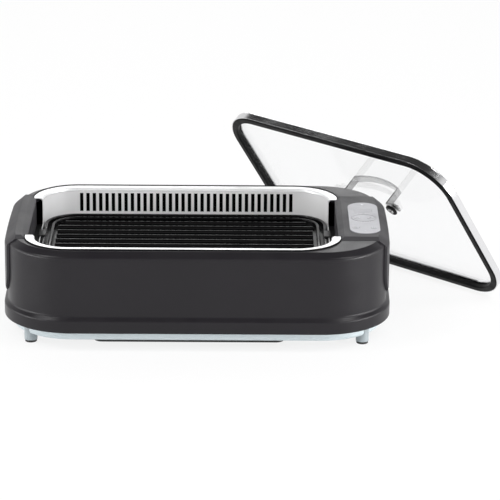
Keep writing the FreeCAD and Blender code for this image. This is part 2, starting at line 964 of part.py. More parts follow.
def board_post_places():
    spread_x = board_half_width - board_post_radius
    spread_y = board_half_depth - board_post_radius
    return [keypad_place(sx * spread_x, sy * spread_y) for sx in (-1, 1) for sy in (-1, 1)]


def control_board():
    x, y = keypad_place(0, 0)
    board = slab(board_half_width, board_half_depth, board_post_radius, board_bottom_z, board_top_z, x, y)
    holes = [
        post(px, py, small_screw_radius + part_gap, board_bottom_z - overrun, board_top_z + overrun)
        for px, py in board_post_places()
    ]
    return board.cut(holes)


def tact_switches():
    shapes = []
    half = switch_size / 2
    case_top = board_top_z + switch_height * switch_case_share
    for x, y in key_places().values():
        case = box(x - half, x + half, y - half, y + half, board_top_z, case_top)
        button = post(x, y, switch_button_radius, board_top_z, board_top_z + switch_height)
        shapes.append(join([case, button]))
    return group(shapes)


def display_module():
    wx, wy = window_place()
    return slab(
        window_width / 2, window_depth / 2, window_radius / 2,
        board_top_z, board_top_z + module_height, wx, wy,
    )


def board_screws():
    return group(
        screw(
            x, y, board_bottom_z, board_top_z + board_drop / 4,
            small_screw_radius, small_head_radius, small_head_height,
        )
        for x, y in board_post_places()
    )


# Base


def pan_envelope():
    dish = shell_tier(-pan_inset, pan_bottom_z, -pan_inset, skirt_bottom_z + pan_sheet)
    return dish.makeFillet(pan_edge_radius, edges_at(dish, pan_bottom_z))


def bottom_pan():
    dish = pan_envelope()
    flange = shell_tier(-pan_flange_inset, skirt_bottom_z, -pan_flange_inset, skirt_bottom_z + pan_sheet)
    inner = -pan_inset - pan_sheet
    inside = shell_tier(inner, pan_floor_z, inner, skirt_bottom_z + overrun)
    inside = inside.makeFillet(pan_edge_radius - pan_sheet, edges_at(inside, pan_floor_z))
    pan = join([dish, flange]).cut(inside)
    holes = [post(fan_x, fan_y, exhaust_radius, pan_bottom_z - overrun, pan_floor_z + overrun)]
    for x, y in boss_places():
        low = skirt_bottom_z - overrun / 10
        holes.append(post(x, y, small_screw_radius + part_gap, low, skirt_bottom_z + overrun))
    tight = small_screw_radius + part_gap / 2
    for x, y in base_screw_places() + bracket_screw_places():
        holes.append(post(x, y, tight, pan_bottom_z - overrun, pan_floor_z + overrun))
    return pan.cut(holes)


def base_screw_places():
    spread_x, spread_y = base_half_length - base_radius, base_half_depth - base_radius
    return [(base_x + sx * spread_x, sy * spread_y) for sx in (-1, 1) for sy in (-1, 1)]


def base_cover():
    """Dark plate under the pan, hollow above, with the fan's outlet slots."""
    plate = slab(base_half_length, base_half_depth, base_radius, base_bottom_z, pan_bottom_z, base_x)
    plate = plate.makeFillet(base_lip, edges_at(plate, base_bottom_z))
    hollow = slab(
        base_half_length - base_radius * 2, base_half_depth - base_radius * 2, base_radius,
        base_bottom_z + base_lip, pan_bottom_z + overrun, base_x,
    )
    cuts = [hollow]
    first = fan_y - grille_slot_pitch * (grille_slot_count - 1) / 2
    for index in range(grille_slot_count):
        y = first + index * grille_slot_pitch
        half_chord = math.sqrt(max(exhaust_radius ** 2 - (y - fan_y) ** 2, grille_slot_width ** 2))
        half = half_chord - grille_slot_width / 2
        cuts.append(
            slab(
                half, grille_slot_width / 2, grille_slot_width / 2 - hairline,
                base_bottom_z - overrun, pan_bottom_z + overrun, fan_x, y,
            )
        )
    low = base_bottom_z - overrun
    for x, y in base_screw_places():
        cuts.append(post(x, y, small_screw_radius + part_gap, low, pan_bottom_z + overrun))
        cuts.append(post(x, y, small_head_radius + part_gap, low, base_bottom_z + base_thick / 2))
    return plate.cut(cuts)


def base_screws():
    return group(
        screw(
            x, y, base_bottom_z + base_thick / 2, pan_floor_z + base_thick,
            small_screw_radius, small_head_radius, small_head_height,
        )
        for x, y in base_screw_places()
    )


def pan_screws():
    return group(
        screw(
            x, y, skirt_bottom_z, skirt_bottom_z + boss_height / 2,
            small_screw_radius, small_head_radius, small_head_height,
        )
        for x, y in boss_places()
    )


def cover_screws():
    places = cover_screw_places(-1) + cover_screw_places(1)
    return group(
        screw(
            x, y, ledge_top_z - ledge_thick, cover_top_z - cover_rise / 2,
            small_screw_radius, small_head_radius, small_head_height,
        )
        for x, y in places
    )


def foot_places():
    return [(sx * foot_x, sy * foot_y) for sx in (-1, 1) for sy in (-1, 1)]


def foot_posts():
    """Posts that hang from the pan's flange, let into its rounded corners."""
    pan = pan_envelope()
    shapes = []
    for x, y in foot_places():
        leg = post(x, y, foot_radius, foot_pad_height, skirt_bottom_z)
        bore = post(x, y, foot_stud_radius + part_gap, foot_pad_height, foot_pad_height + foot_stud_height)
        shapes.append(leg.cut([pan, bore]))
    return group(shapes)


def foot_pads():
    shapes = []
    for x, y in foot_places():
        disc = post(x, y, foot_pad_radius, 0, foot_pad_height)
        disc = disc.makeFillet(foot_pad_height / 4, edges_at(disc, 0))
        stud = post(x, y, foot_stud_radius, foot_pad_height / 2, foot_pad_height + foot_stud_height)
        shapes.append(join([disc, stud]))
    return group(shapes)


# Fan


def bracket_screw_places():
    radius = exhaust_radius + bracket_foot / 2
    return [
        (fan_x + radius * math.cos(math.radians(a)), fan_y + radius * math.sin(math.radians(a)))
        for a in (90, 210, 330)
    ]


def motor_bracket():
    plate = post(fan_x, fan_y, motor_radius + bracket_thick, pan_floor_z, motor_bottom_z)
    arms = []
    for angle in (90, 210, 330):
        half = bracket_arm_width / 2
        arm = box(0, exhaust_radius + bracket_foot, -half, half, pan_floor_z, motor_bottom_z)
        arm.rotate(Vector(0, 0, 0), UP, angle)
        arm.translate(Vector(fan_x, fan_y, 0))
        arms.append(arm)
    holes = [
        post(x, y, small_screw_radius + part_gap / 2, pan_floor_z - overrun, motor_bottom_z + overrun)
        for x, y in bracket_screw_places()
    ]
    return join([plate] + arms).cut(holes)


def motor_screws():
    return group(
        screw(
            x, y, motor_bottom_z, pan_bottom_z,
            small_screw_radius, small_head_radius, small_head_height,
        )
        for x, y in bracket_screw_places()
    )


def fan_motor():
    can = post(fan_x, fan_y, motor_radius, motor_bottom_z, motor_top_z - bracket_thick)
    cap = post(fan_x, fan_y, motor_radius / 2, motor_bottom_z, motor_top_z)
    bore_low = motor_bottom_z + bracket_thick
    bore = post(fan_x, fan_y, shaft_radius + shaft_play, bore_low, motor_top_z + overrun)
    return join([can, cap]).cut(bore)


def motor_shaft():
    low = motor_bottom_z + bracket_thick + seat_gap
    high = impeller_z + impeller_height + nut_height + shaft_end
    return post(fan_x, fan_y, shaft_radius, low, high)


def blade(angle):
    """One backward-leaning blade, from the back plate up."""
    length = impeller_radius - blade_inner_radius
    solid = box(0, length, -blade_thick / 2, blade_thick / 2, impeller_z, impeller_z + impeller_height)
    solid.rotate(Vector(0, 0, 0), UP, blade_lean)
    solid.translate(Vector(blade_inner_radius, 0, 0))
    solid.rotate(Vector(0, 0, 0), UP, angle)
    solid.translate(Vector(fan_x, fan_y, 0))
    return solid


def fan_impeller():
    reach = math.radians(blade_lean)
    run = impeller_radius - blade_inner_radius
    plate_radius_out = math.hypot(blade_inner_radius + run * math.cos(reach), run * math.sin(reach))
    plate = post(fan_x, fan_y, plate_radius_out, impeller_z, impeller_z + impeller_plate)
    hub = post(fan_x, fan_y, impeller_hub_radius, impeller_z, impeller_z + impeller_height)
    blades = [blade(360.0 * index / blade_count) for index in range(blade_count)]
    wheel = join([plate, hub] + blades)
    return wheel.cut(post(fan_x, fan_y, shaft_radius, impeller_z - overrun, impeller_z + overrun))


def hub_nut():
    low = impeller_z + impeller_height
    corners = []
    for degrees in range(0, 360, 60):
        turn = math.radians(degrees)
        corners.append(
            Vector(fan_x + nut_radius * math.cos(turn), fan_y + nut_radius * math.sin(turn), low)
        )
    nut = Part.Face(Part.makePolygon(corners + corners[:1])).extrude(Vector(0, 0, nut_height))
    return nut.cut(post(fan_x, fan_y, shaft_radius, low - overrun, low + overrun))


def fan_scroll():
    outside = post(fan_x, fan_y, scroll_radius, pan_floor_z, scroll_top_z)
    inner_radius, inner_top = scroll_radius - scroll_wall, scroll_top_z - scroll_wall
    inside = post(fan_x, fan_y, inner_radius, pan_floor_z - overrun, inner_top)
    inlet = post(fan_x, fan_y, fan_inlet_radius, scroll_top_z - overrun, scroll_top_z + overrun)
    return outside.cut([inside, inlet])


def fan_inlet_ring():
    outer_radius = fan_inlet_radius + inlet_ring_width
    ring = post(fan_x, fan_y, outer_radius, scroll_top_z, scroll_top_z + inlet_ring_height)
    hole = post(fan_x, fan_y, fan_inlet_radius, scroll_top_z - overrun, scroll_top_z + overrun)
    return ring.cut(hole)


def duct_half_length():
    return slot_pitch * slot_count / 2 + duct_side_margin


def duct_slab(x_low, x_high, inset):
    """Block in the duct's upright section, moved in by an inset and open to the front."""
    front_y = liner_half_depth + chamber_side + chamber_wall + part_gap
    rear_y = shell_half_depth - shell_wall - duct_rear_gap
    top_z = ledge_top_z - ledge_thick - duct_top_drop / 10
    start_y = front_y - overrun if inset else front_y
    return box(x_low, x_high, start_y, rear_y - inset, duct_bottom_z + inset, top_z - inset)


def smoke_duct():
    """Channel behind the slots that leads the smoke down and under the chamber."""
    half = duct_half_length() - duct_sheet
    outside = duct_slab(liner_x - half, liner_x + half, 0)
    return outside.cut(duct_slab(liner_x - half - overrun, liner_x + half + overrun, duct_sheet))


def duct_ends():
    """Flat plates that close the channel's ends."""
    half = duct_half_length()
    return group(
        [
            duct_slab(liner_x - half, liner_x - half + duct_sheet, 0),
            duct_slab(liner_x + half - duct_sheet, liner_x + half, 0),
        ]
    )


# Tray, plate and element


def tray_centre_x():
    return liner_x - tray_end_room / 2


def tray_half_length():
    return liner_half_length - tray_gap - tray_end_room / 2


def drip_tray():
    half_x, half_y = tray_half_length(), liner_half_depth - tray_gap
    x = tray_centre_x()
    flange = slab(half_x, half_y, tray_corner, tray_top_z - tray_sheet, tray_top_z, x)
    body_x, body_y, radius = half_x - tray_flange, half_y - tray_flange, tray_corner - tray_flange
    dish = slab(body_x, body_y, radius, tray_bottom_z, tray_top_z, x)
    dish = dish.makeFillet(tray_flange, edges_at(dish, tray_bottom_z))
    pads = []
    foot_z = tray_bottom_z - tray_pad_height
    for sx in (-1, 1):
        for sy in (-1, 1):
            px, py = x + sx * (body_x - radius), sy * (body_y - radius)
            pads.append(post(px, py, tray_flange, foot_z, tray_bottom_z + tray_sheet))
    hollow = slab(
        body_x - tray_sheet, body_y - tray_sheet, radius - tray_sheet,
        tray_bottom_z + tray_sheet, tray_top_z + overrun, x,
    )
    hollow = hollow.makeFillet(tray_flange - tray_sheet, edges_at(hollow, tray_bottom_z + tray_sheet))
    notch_half = element_radius + element_notch
    notches = []
    for y in (element_rows()[0], element_rows()[-1]):
        notches.append(
            box(
                x + body_x - radius, x + half_x + overrun, y - notch_half, y + notch_half,
                element_z() - notch_half, tray_top_z + overrun,
            )
        )
    return join([flange, dish] + pads).cut([hollow] + notches)


def plate_slab(inset, z_low, z_high):
    return slab(
        plate_half_length - inset, plate_half_depth - inset, plate_radius - inset, z_low, z_high, liner_x
    )


def plate_ring(inset, width, height):
    """Raised band round the plate with rounded crests."""
    top = plate_bottom_z + height
    ring = plate_slab(inset, plate_bottom_z, top).cut(
        plate_slab(inset + width, plate_bottom_z - overrun, top + overrun)
    )
    return ring.makeFillet(plate_round, edges_at(ring, top))


def ridge(y, half_length):
    """Round-topped cooking ridge that runs along X."""
    half, top = ridge_width / 2, plate_floor_z + ridge_height
    low = plate_floor_z
    crown = half * ridge_crown_share
    shoulder = top - crown
    x = liner_x - half_length
    a, b = Vector(x, y - half, low), Vector(x, y + half, low)
    c, d = Vector(x, y + crown, shoulder), Vector(x, y - crown, shoulder)
    arc = Part.Arc(c, Vector(x, y, top), d).toShape()
    face = Part.Face(Part.Wire([Part.makeLine(a, b), Part.makeLine(b, c), arc, Part.makeLine(d, a)]))
    return face.extrude(Vector(2 * half_length, 0, 0))


def ridge_rows():
    """Each ridge's y and half length, shorter where the corners turn in."""
    half_x = plate_half_length - ridge_field_inset
    half_y = plate_half_depth - ridge_field_inset
    radius = max(plate_radius - ridge_field_inset, ridge_width)
    rows = []
    for index in range(ridge_count):
        y = (index - (ridge_count - 1) / 2) * ridge_pitch
        past = abs(y) + ridge_width / 2 - (half_y - radius)
        cut_back = radius - math.sqrt(max(radius ** 2 - past ** 2, 0)) if past > 0 else 0
        rows.append((y, half_x - cut_back))
    return rows


def grill_plate():
    base = plate_slab(0, plate_bottom_z, plate_floor_z)
    rim = plate_ring(0, plate_rim_width, plate_rim_height)
    rib = plate_ring(plate_rib_inset, plate_rib_width, plate_rib_height)
    plate = join([base, rim, rib])
    drains = []
    for sign in (-1, 1):
        y = sign * ridge_pitch / 2
        drains.append(
            slab(
                drain_length / 2, drain_width / 2, drain_width / 2 - hairline,
                plate_bottom_z - overrun, plate_floor_z + overrun, liner_x, y,
            )
        )
    pins = [
        post(x, y, tab_pin_radius, plate_bottom_z - overrun, plate_rim_z + overrun)
        for x, y in tab_pin_places()
    ]
    return plate.cut(drains + pins)


def plate_ridges():
    """The cooking ridges, cast on the plate's floor between its drains."""
    return group(ridge(y, half) for y, half in ridge_rows())


def tab_pin_places():
    reach = plate_half_length - plate_rim_width / 2
    return [(liner_x + side * reach, tab_y) for side in (-1, 1)]


def plate_tabs():
    """Small tabs at the plate's ends, to lift it by."""
    shapes = []
    low = plate_rim_z
    for side, (px, py) in zip((-1, 1), tab_pin_places()):
        ends = sorted([px - side * tab_overlap, liner_x + side * (plate_half_length + tab_reach)])
        tab = box(ends[0], ends[1], py - tab_half_width, py + tab_half_width, low, low + tab_thick)
        tab = tab.makeFillet(tab_thick / 3, edges_at(tab, low + tab_thick))
        pin_low, pin_high = plate_bottom_z + plate_thick / 2, low + tab_thick / 2
        pin = post(px, py, tab_pin_radius - part_gap / 3, pin_low, pin_high)
        shapes.append(join([tab, pin]))
    return group(shapes)


def element_z():
    return plate_bottom_z - element_radius - seat_gap


def element_rows():
    return [(index - (element_runs - 1) / 2) * element_pitch for index in range(element_runs)]


def element_wire():
    """Serpentine of runs along X; both ends run on into the terminal block."""
    z = element_z()
    rows = element_rows()
    radius = element_pitch / 2
    left = liner_x - element_span
    right = liner_x + element_span
    edges = []
    for index, y in enumerate(rows):
        last = index == element_runs - 1
        x_from = terminal_x() if index == 0 else right
        x_to = terminal_x() if last else right
        forward = index % 2 == 0
        start = x_from if forward else left
        end = left if forward else x_to
        edges.append(Part.makeLine(Vector(start, y, z), Vector(end, y, z)))
        if not last:
            turn_x = left if forward else right
            bulge = -radius if forward else radius
            crown = Vector(turn_x + bulge, y + radius, z)
            turn = Part.Arc(Vector(turn_x, y, z), crown, Vector(turn_x, y + element_pitch, z))
            edges.append(turn.toShape())
    return Part.Wire(edges)


def heating_element():
    wire = element_wire()
    start = wire.OrderedVertexes[0].Point
    circle = Part.Wire(Part.Circle(start, Vector(1, 0, 0), element_radius).toShape())
    return wire.makePipeShell([circle], True, False)


def element_clips():
    """Saddles that hold the element to the plate."""
    shapes = []
    z = element_z()
    room = element_radius + part_gap
    reach = room + clip_thick
    half = clip_width / 2
    for y in element_rows():
        for x in (liner_x - element_span / 2, liner_x + element_span / 2):
            saddle = box(x - half, x + half, y - reach, y + reach, z - reach, plate_bottom_z)
            start = Vector(x - clip_width, y, z)
            hollow = Part.makeCylinder(room, clip_width * 2, start, Vector(1, 0, 0))
            channel = box(
                x - clip_width, x + clip_width, y - room, y + room, z, plate_bottom_z + overrun
            )
            shapes.append(saddle.cut([hollow, channel]))
    return group(shapes)


def terminal_x():
    return liner_x + plate_half_length - terminal_inset


def terminal_block():
    x = terminal_x()
    y = element_rows()[-1]
    low = plate_bottom_z - terminal_height
    block = box(
        x - terminal_half_length, x + terminal_half_length,
        -y - terminal_half_width / 2, y + terminal_half_width / 2, low, plate_bottom_z,
    )
    holes = [
        Part.makeCylinder(
            element_radius + part_gap, terminal_half_length * 2 + part_gap,
            Vector(x - terminal_half_length * 2, sign * y, element_z()), Vector(1, 0, 0),
        )
        for sign in (-1, 1)
    ]
    sockets = [
        post(px, py, pin_radius, low - overrun, low + terminal_height / 4) for px, py in pin_places()
    ]
    return block.cut(holes + sockets)


def pin_places():
    return [(terminal_x(), sign * pin_spacing / 2) for sign in (-1, 1)]


def contact_pins():
    low = plate_bottom_z - terminal_height
    return group(
        post(x, y, pin_radius, low - pin_length, low + terminal_height / 4) for x, y in pin_places()
    )


def heater_socket():
    x = terminal_x()
    top = plate_bottom_z - terminal_height - socket_gap
    half_y = pin_spacing / 2 + pin_radius + socket_wall
    block = box(
        x - terminal_half_length, x + terminal_half_length, -half_y, half_y,
        chamber_floor_z + chamber_wall, top,
    )
    low = top - pin_length - socket_gap
    bores = [post(px, py, pin_radius + key_gap, low, top + overrun) for px, py in pin_places()]
    return block.cut(bores)


# Electronics in the base, gland and cutout


def power_board():
    board = slab(
        power_half_length, power_half_width, window_radius, power_z, power_z + board_thick, power_x, power_y
    )
    return board.cut(
        [
            post(x, y, small_screw_radius + part_gap, power_z - overrun, power_z + overrun)
            for x, y in power_post_places()
        ]
    )


def power_post_places():
    spread_x = power_half_length - board_post_radius * 2
    spread_y = power_half_width - board_post_radius * 2
    return [(power_x + sx * spread_x, power_y + sy * spread_y) for sx in (-1, 1) for sy in (-1, 1)]


def board_posts():
    shapes = []
    for x, y in power_post_places():
        body = post(x, y, board_post_radius, pan_floor_z, power_z)
        tip = post(x, y, small_screw_radius, pan_floor_z, power_z + board_thick + small_head_height)
        shapes.append(join([body, tip]))
    return group(shapes)


def relay_block():
    low = power_z + board_thick
    x, y = power_x - power_half_length / 3, power_y
    half = relay_size / 2
    half_y = half * relay_depth_share
    return box(x - half, x + half, y - half_y, y + half_y, low, low + relay_height)


def capacitor():
    low = power_z + board_thick
    return post(power_x + power_half_length / 3, power_y, capacitor_radius, low, low + capacitor_height)


def cord_gland():
    """Moulded inlet for the mains lead, through the rear wall."""
    rear = shell_half_depth + part_gap
    back = Vector(0, 1, 0)

    def along(radius, length, start):
        return Part.makeCylinder(radius, length, Vector(gland_x, rear + start, gland_z), back)

    tube = along(gland_radius, gland_length, -gland_length)
    collar = along(gland_flange_radius, gland_flange_thick, 0)
    return join([tube, collar]).cut(along(gland_radius / 2, gland_length * 3, -gland_length * 2))


def thermal_cutout():
    """Safety switch pressed against the liner's front wall, outside the well."""
    y = -(liner_half_depth + liner_sheet + seat_gap / 2)
    z = (slot_bottom_z + slot_top_z) / 2
    half = cutout_width / 2
    return box(cutout_x - half, cutout_x + half, y - cutout_height, y, z - half / 2, z + half / 2)


# Lid, modelled flat and then set in its leaning place


def lid_slab(inset, low, high):
    return slab(
        lid_length / 2 - inset, lid_width / 2 - inset, lid_radius - inset, low, high,
        lid_length / 2, lid_width / 2,
    )


def lid_placement():
    """The lid stands on its long edge and leans on the shell's rear corner, a hair off it."""
    yaw, lean = math.radians(lid_yaw), math.radians(lid_lean)
    along = Vector(math.cos(yaw), math.sin(yaw), 0)
    away = Vector(-math.sin(yaw), math.cos(yaw), 0)
    up_slope = UP * math.cos(lean) - away * math.sin(lean)
    drop = min(seal_inset_drop(lean), band_start * math.sin(lean))
    reach = away.x * corner_x + away.y * corner_y + shell_corner_radius
    stand_off = glass_height - 2 * seat_gap + crease_relief(lean)
    offset = reach + (crease_z + drop) * math.tan(lean) - stand_off / math.cos(lean)
    place = along * lid_along + away * offset - UP * drop
    matrix = FreeCAD.Matrix()
    normal = along.cross(up_slope)
    columns = (along, up_slope, normal)
    matrix.A11, matrix.A21, matrix.A31 = columns[0].x, columns[0].y, columns[0].z
    matrix.A12, matrix.A22, matrix.A32 = columns[1].x, columns[1].y, columns[1].z
    matrix.A13, matrix.A23, matrix.A33 = columns[2].x, columns[2].y, columns[2].z
    matrix.A14, matrix.A24, matrix.A34 = place.x, place.y, place.z
    return Placement(matrix)


def crease_relief(lean):
    """How far the crease's rounding lets the leaning lid come in."""
    half_turn = math.atan2(rim_inset, rim_z - crease_z) / 2
    return crease_round * (math.cos(lean - half_turn) / math.cos(half_turn) - 1)


def seal_inset_drop(lean):
    """How far above the lid's edge line the seal's lowest edge lies."""
    return seal_inset * math.cos(lean)


def far(height):
    """Lid heights grow away from the grill, which is the negative local Z."""
    return -height


def lid_layer(inset, near, away):
    """Slab of the lid between two distances from its underside."""
    return lid_slab(inset, far(away), far(near))


def lid_glass():
    pane = lid_layer(glass_inset, glass_height, glass_height + glass_thick)
    holes = [
        post(x, y, lid_screw_radius + part_gap, far(lid_depth + overrun), far(-overrun))
        for x, y in lid_screw_places()
    ]
    return pane.cut(holes)


def lid_seal():
    """Dark ring under the glass, wrapped round its edge."""
    ring = lid_layer(seal_inset, 0, glass_height + glass_thick)
    ring = ring.cut(lid_layer(seal_inset + seal_width, -overrun, lid_depth + overrun))
    ring = ring.makeFillet(seal_round, edges_at(ring, far(0)))
    return ring.cut(lid_layer(glass_inset - part_gap, glass_height, lid_depth + overrun))


def lid_band():
    """Bright metal band round the lid, turned in over the glass."""
    low = band_start
    outer = lid_layer(0, low, lid_depth)
    outer = outer.makeFillet(band_round, edges_at(outer, far(lid_depth)))
    side = lid_layer(band_sheet, low - overrun, lid_depth - band_sheet)
    mouth = lid_layer(band_width, low - overrun, lid_depth + overrun)
    return outer.cut([side, mouth])


def lid_screw_places():
    reach = handle_span / 2 + handle_foot / 2
    return [(lid_length / 2 + sign * reach, lid_width / 2) for sign in (-1, 1)]


def lid_handle():
    """Flat metal strap: two feet, two legs and a bowed bar."""
    x, y = lid_length / 2, lid_width / 2
    base = glass_height + glass_thick + seat_gap
    half, sheet = handle_span / 2, handle_strap
    outer = [
        (-half - handle_foot, base), (-half - handle_foot, base + sheet), (-half, base + sheet),
        (-half, base + handle_rise), (half, base + handle_rise), (half, base + sheet),
        (half + handle_foot, base + sheet), (half + handle_foot, base),
    ]

    def at(point):
        return Vector(x + point[0], y - handle_width / 2, far(point[1]))

    top = base + handle_rise
    leg, under = half - sheet, top - sheet
    inner = [(leg, base), (leg, under), (-leg, under), (-leg, base)]
    lines = [Part.makeLine(at(outer[i]), at(outer[i + 1])) for i in (0, 1, 2)]
    lines.append(Part.Arc(at(outer[3]), at((0, top + handle_bow)), at(outer[4])).toShape())
    lines += [Part.makeLine(at(outer[i]), at(outer[i + 1])) for i in (4, 5, 6)]
    lines.append(Part.makeLine(at(outer[7]), at(inner[0])))
    lines.append(Part.makeLine(at(inner[0]), at(inner[1])))
    lines.append(Part.Arc(at(inner[1]), at((0, top + handle_bow - sheet)), at(inner[2])).toShape())
    lines.append(Part.makeLine(at(inner[2]), at(inner[3])))
    lines.append(Part.makeLine(at(inner[3]), at(outer[0])))
    strap = Part.Face(Part.Wire(lines)).extrude(Vector(0, handle_width, 0))
    holes = [
        post(px, py, lid_screw_radius + part_gap, far(base + overrun), far(base - overrun))
        for px, py in lid_screw_places()
    ]
    return strap.cut(holes)


def lid_washers():
    near = glass_height - seat_gap
    shapes = []
    for x, y in lid_screw_places():
        disc = post(x, y, washer_radius, far(near), far(near - washer_thick))
        disc = disc.makeFillet(washer_thick / 3, edges_at(disc, far(near - washer_thick)))
        hole = post(x, y, lid_screw_radius + part_gap, far(near + overrun), far(near - overrun))
        shapes.append(disc.cut(hole))
    return group(shapes)


def lid_screws():
    near = glass_height - seat_gap - washer_thick
    tip = glass_height + glass_thick + handle_strap + 2 * seat_gap
    shapes = []
    for x, y in lid_screw_places():
        head = post(x, y, lid_screw_head_radius, far(near), far(near - lid_screw_head_height))
        head = head.makeFillet(lid_screw_head_height / 2, edges_at(head, far(near - lid_screw_head_height)))
        shank = post(x, y, lid_screw_radius, far(tip), far(near))
        dome = post(x, y, lid_screw_head_radius, far(tip + lid_screw_head_height), far(tip))
        dome = dome.makeFillet(lid_screw_head_height / 2, edges_at(dome, far(tip + lid_screw_head_height)))
        shapes.append(join([head, shank, dome]))
    return group(shapes)


def lid_pieces():
    flat = {
        "lid_glass": lid_glass(),
        "lid_seal": lid_seal(),
        "lid_band": lid_band(),
        "lid_handle": lid_handle(),
        "lid_washers": lid_washers(),
        "lid_screws": lid_screws(),
    }
    place = lid_placement()
    for shape in flat.values():
        shape.Placement = place.multiply(shape.Placement)
    return flat


def all_pieces():
    pieces = {
        "outer_housing": outer_housing(),
        "housing_bezel": housing_bezel(),
        "bottom_pan": bottom_pan(),
        "base_cover": base_cover(),
        "foot_posts": foot_posts(),
        "foot_pads": foot_pads(),
        "heat_liner": heat_liner(),
        "slot_screen": slot_screen(),
        "rim_trim": rim_trim(),
        "rim_gasket": rim_gasket(),
        "inner_chamber": inner_chamber(),
        "left_end_cover": end_cover(-1),
        "right_end_cover": control_cover(),
        "left_handle_cup": handle_cup(-1),
        "right_handle_cup": handle_cup(1),
        "keypad_plate": keypad_plate(),
        "display_window": display_window(),
        "status_lenses": status_lenses(),
        "control_board": control_board(),
        "tact_switches": tact_switches(),
        "display_module": display_module(),
        "board_screws": board_screws(),
        "grill_plate": grill_plate(),
        "plate_ridges": plate_ridges(),
        "plate_tabs": plate_tabs(),
        "heating_element": heating_element(),
        "element_clips": element_clips(),
        "terminal_block": terminal_block(),
        "contact_pins": contact_pins(),
        "heater_socket": heater_socket(),
        "drip_tray": drip_tray(),
        "smoke_duct": smoke_duct(),
        "duct_ends": duct_ends(),
        "fan_scroll": fan_scroll(),
        "fan_inlet_ring": fan_inlet_ring(),
        "fan_impeller": fan_impeller(),
        "motor_shaft": motor_shaft(),
        "hub_nut": hub_nut(),
        "fan_motor": fan_motor(),
        "motor_bracket": motor_bracket(),
        "motor_screws": motor_screws(),
        "power_board": power_board(),
        "relay_block": relay_block(),
        "capacitor": capacitor(),
        "board_posts": board_posts(),
        "thermal_cutout": thermal_cutout(),
        "cord_gland": cord_gland(),
        "pan_screws": pan_screws(),
        "base_screws": base_screws(),
        "cover_screws": cover_screws(),
    }
    for name, (x, y) in key_places().items():
        pieces[name] = key_cap(x, y)
    pieces.update(lid_pieces())
    return pieces


os.makedirs("parts", exist_ok=True)
for node, piece in all_pieces().items():
    save(node, piece)
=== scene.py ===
import math

import bmesh
import bpy
from mathutils import Matrix, Vector


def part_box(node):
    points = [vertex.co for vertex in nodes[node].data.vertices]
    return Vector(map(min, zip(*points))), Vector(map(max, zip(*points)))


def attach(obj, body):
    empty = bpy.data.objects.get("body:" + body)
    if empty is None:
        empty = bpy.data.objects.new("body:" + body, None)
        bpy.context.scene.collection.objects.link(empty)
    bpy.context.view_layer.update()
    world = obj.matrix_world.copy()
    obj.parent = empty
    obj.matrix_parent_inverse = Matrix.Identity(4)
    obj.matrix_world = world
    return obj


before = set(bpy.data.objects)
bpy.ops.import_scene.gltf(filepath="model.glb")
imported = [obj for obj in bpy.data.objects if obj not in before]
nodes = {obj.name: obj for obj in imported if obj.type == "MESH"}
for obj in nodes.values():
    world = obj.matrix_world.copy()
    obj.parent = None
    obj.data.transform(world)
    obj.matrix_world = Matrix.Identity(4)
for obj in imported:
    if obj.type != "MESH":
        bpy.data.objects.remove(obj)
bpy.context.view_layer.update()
scene = bpy.context.scene


# Camera at the photograph's angle: metres and radians, lens and sensor in millimetres

CAMERA_PLACE = (0.057075, -3.718019, 1.306466)
TILT_DOWN = 0.316195
TURN = -0.0038773
ROLL = 0.0067934
LENS = 204.28
SENSOR_WIDTH = 36
VIEW_DEPTH = 100


def make_camera():
    back = Vector((
        math.sin(TURN) * math.cos(TILT_DOWN),
        -math.cos(TURN) * math.cos(TILT_DOWN),
        math.sin(TILT_DOWN),
    ))
    right = Vector((math.cos(TURN), math.sin(TURN), 0))
    up = back.cross(right)
    x_axis = right * math.cos(ROLL) + up * math.sin(ROLL)
    y_axis = up * math.cos(ROLL) - right * math.sin(ROLL)
    data = bpy.data.cameras.new("camera")
    data.sensor_width = SENSOR_WIDTH
    data.lens = LENS
    data.clip_end = VIEW_DEPTH
    camera = bpy.data.objects.new("camera", data)
    matrix = Matrix((x_axis, y_axis, back)).transposed().to_4x4()
    matrix.translation = Vector(CAMERA_PLACE)
    camera.matrix_world = matrix
    scene.collection.objects.link(camera)
    scene.camera = camera


# Materials. Lengths are in metres, and a noise's scale is in ripples to the metre.

# The Mix node's colour sockets share their names with its other ones, so they go by number
MIX_COLOR_A = 6
MIX_COLOR_B = 7
MIX_COLOR_RESULT = 2
BEVEL_SAMPLES = 4


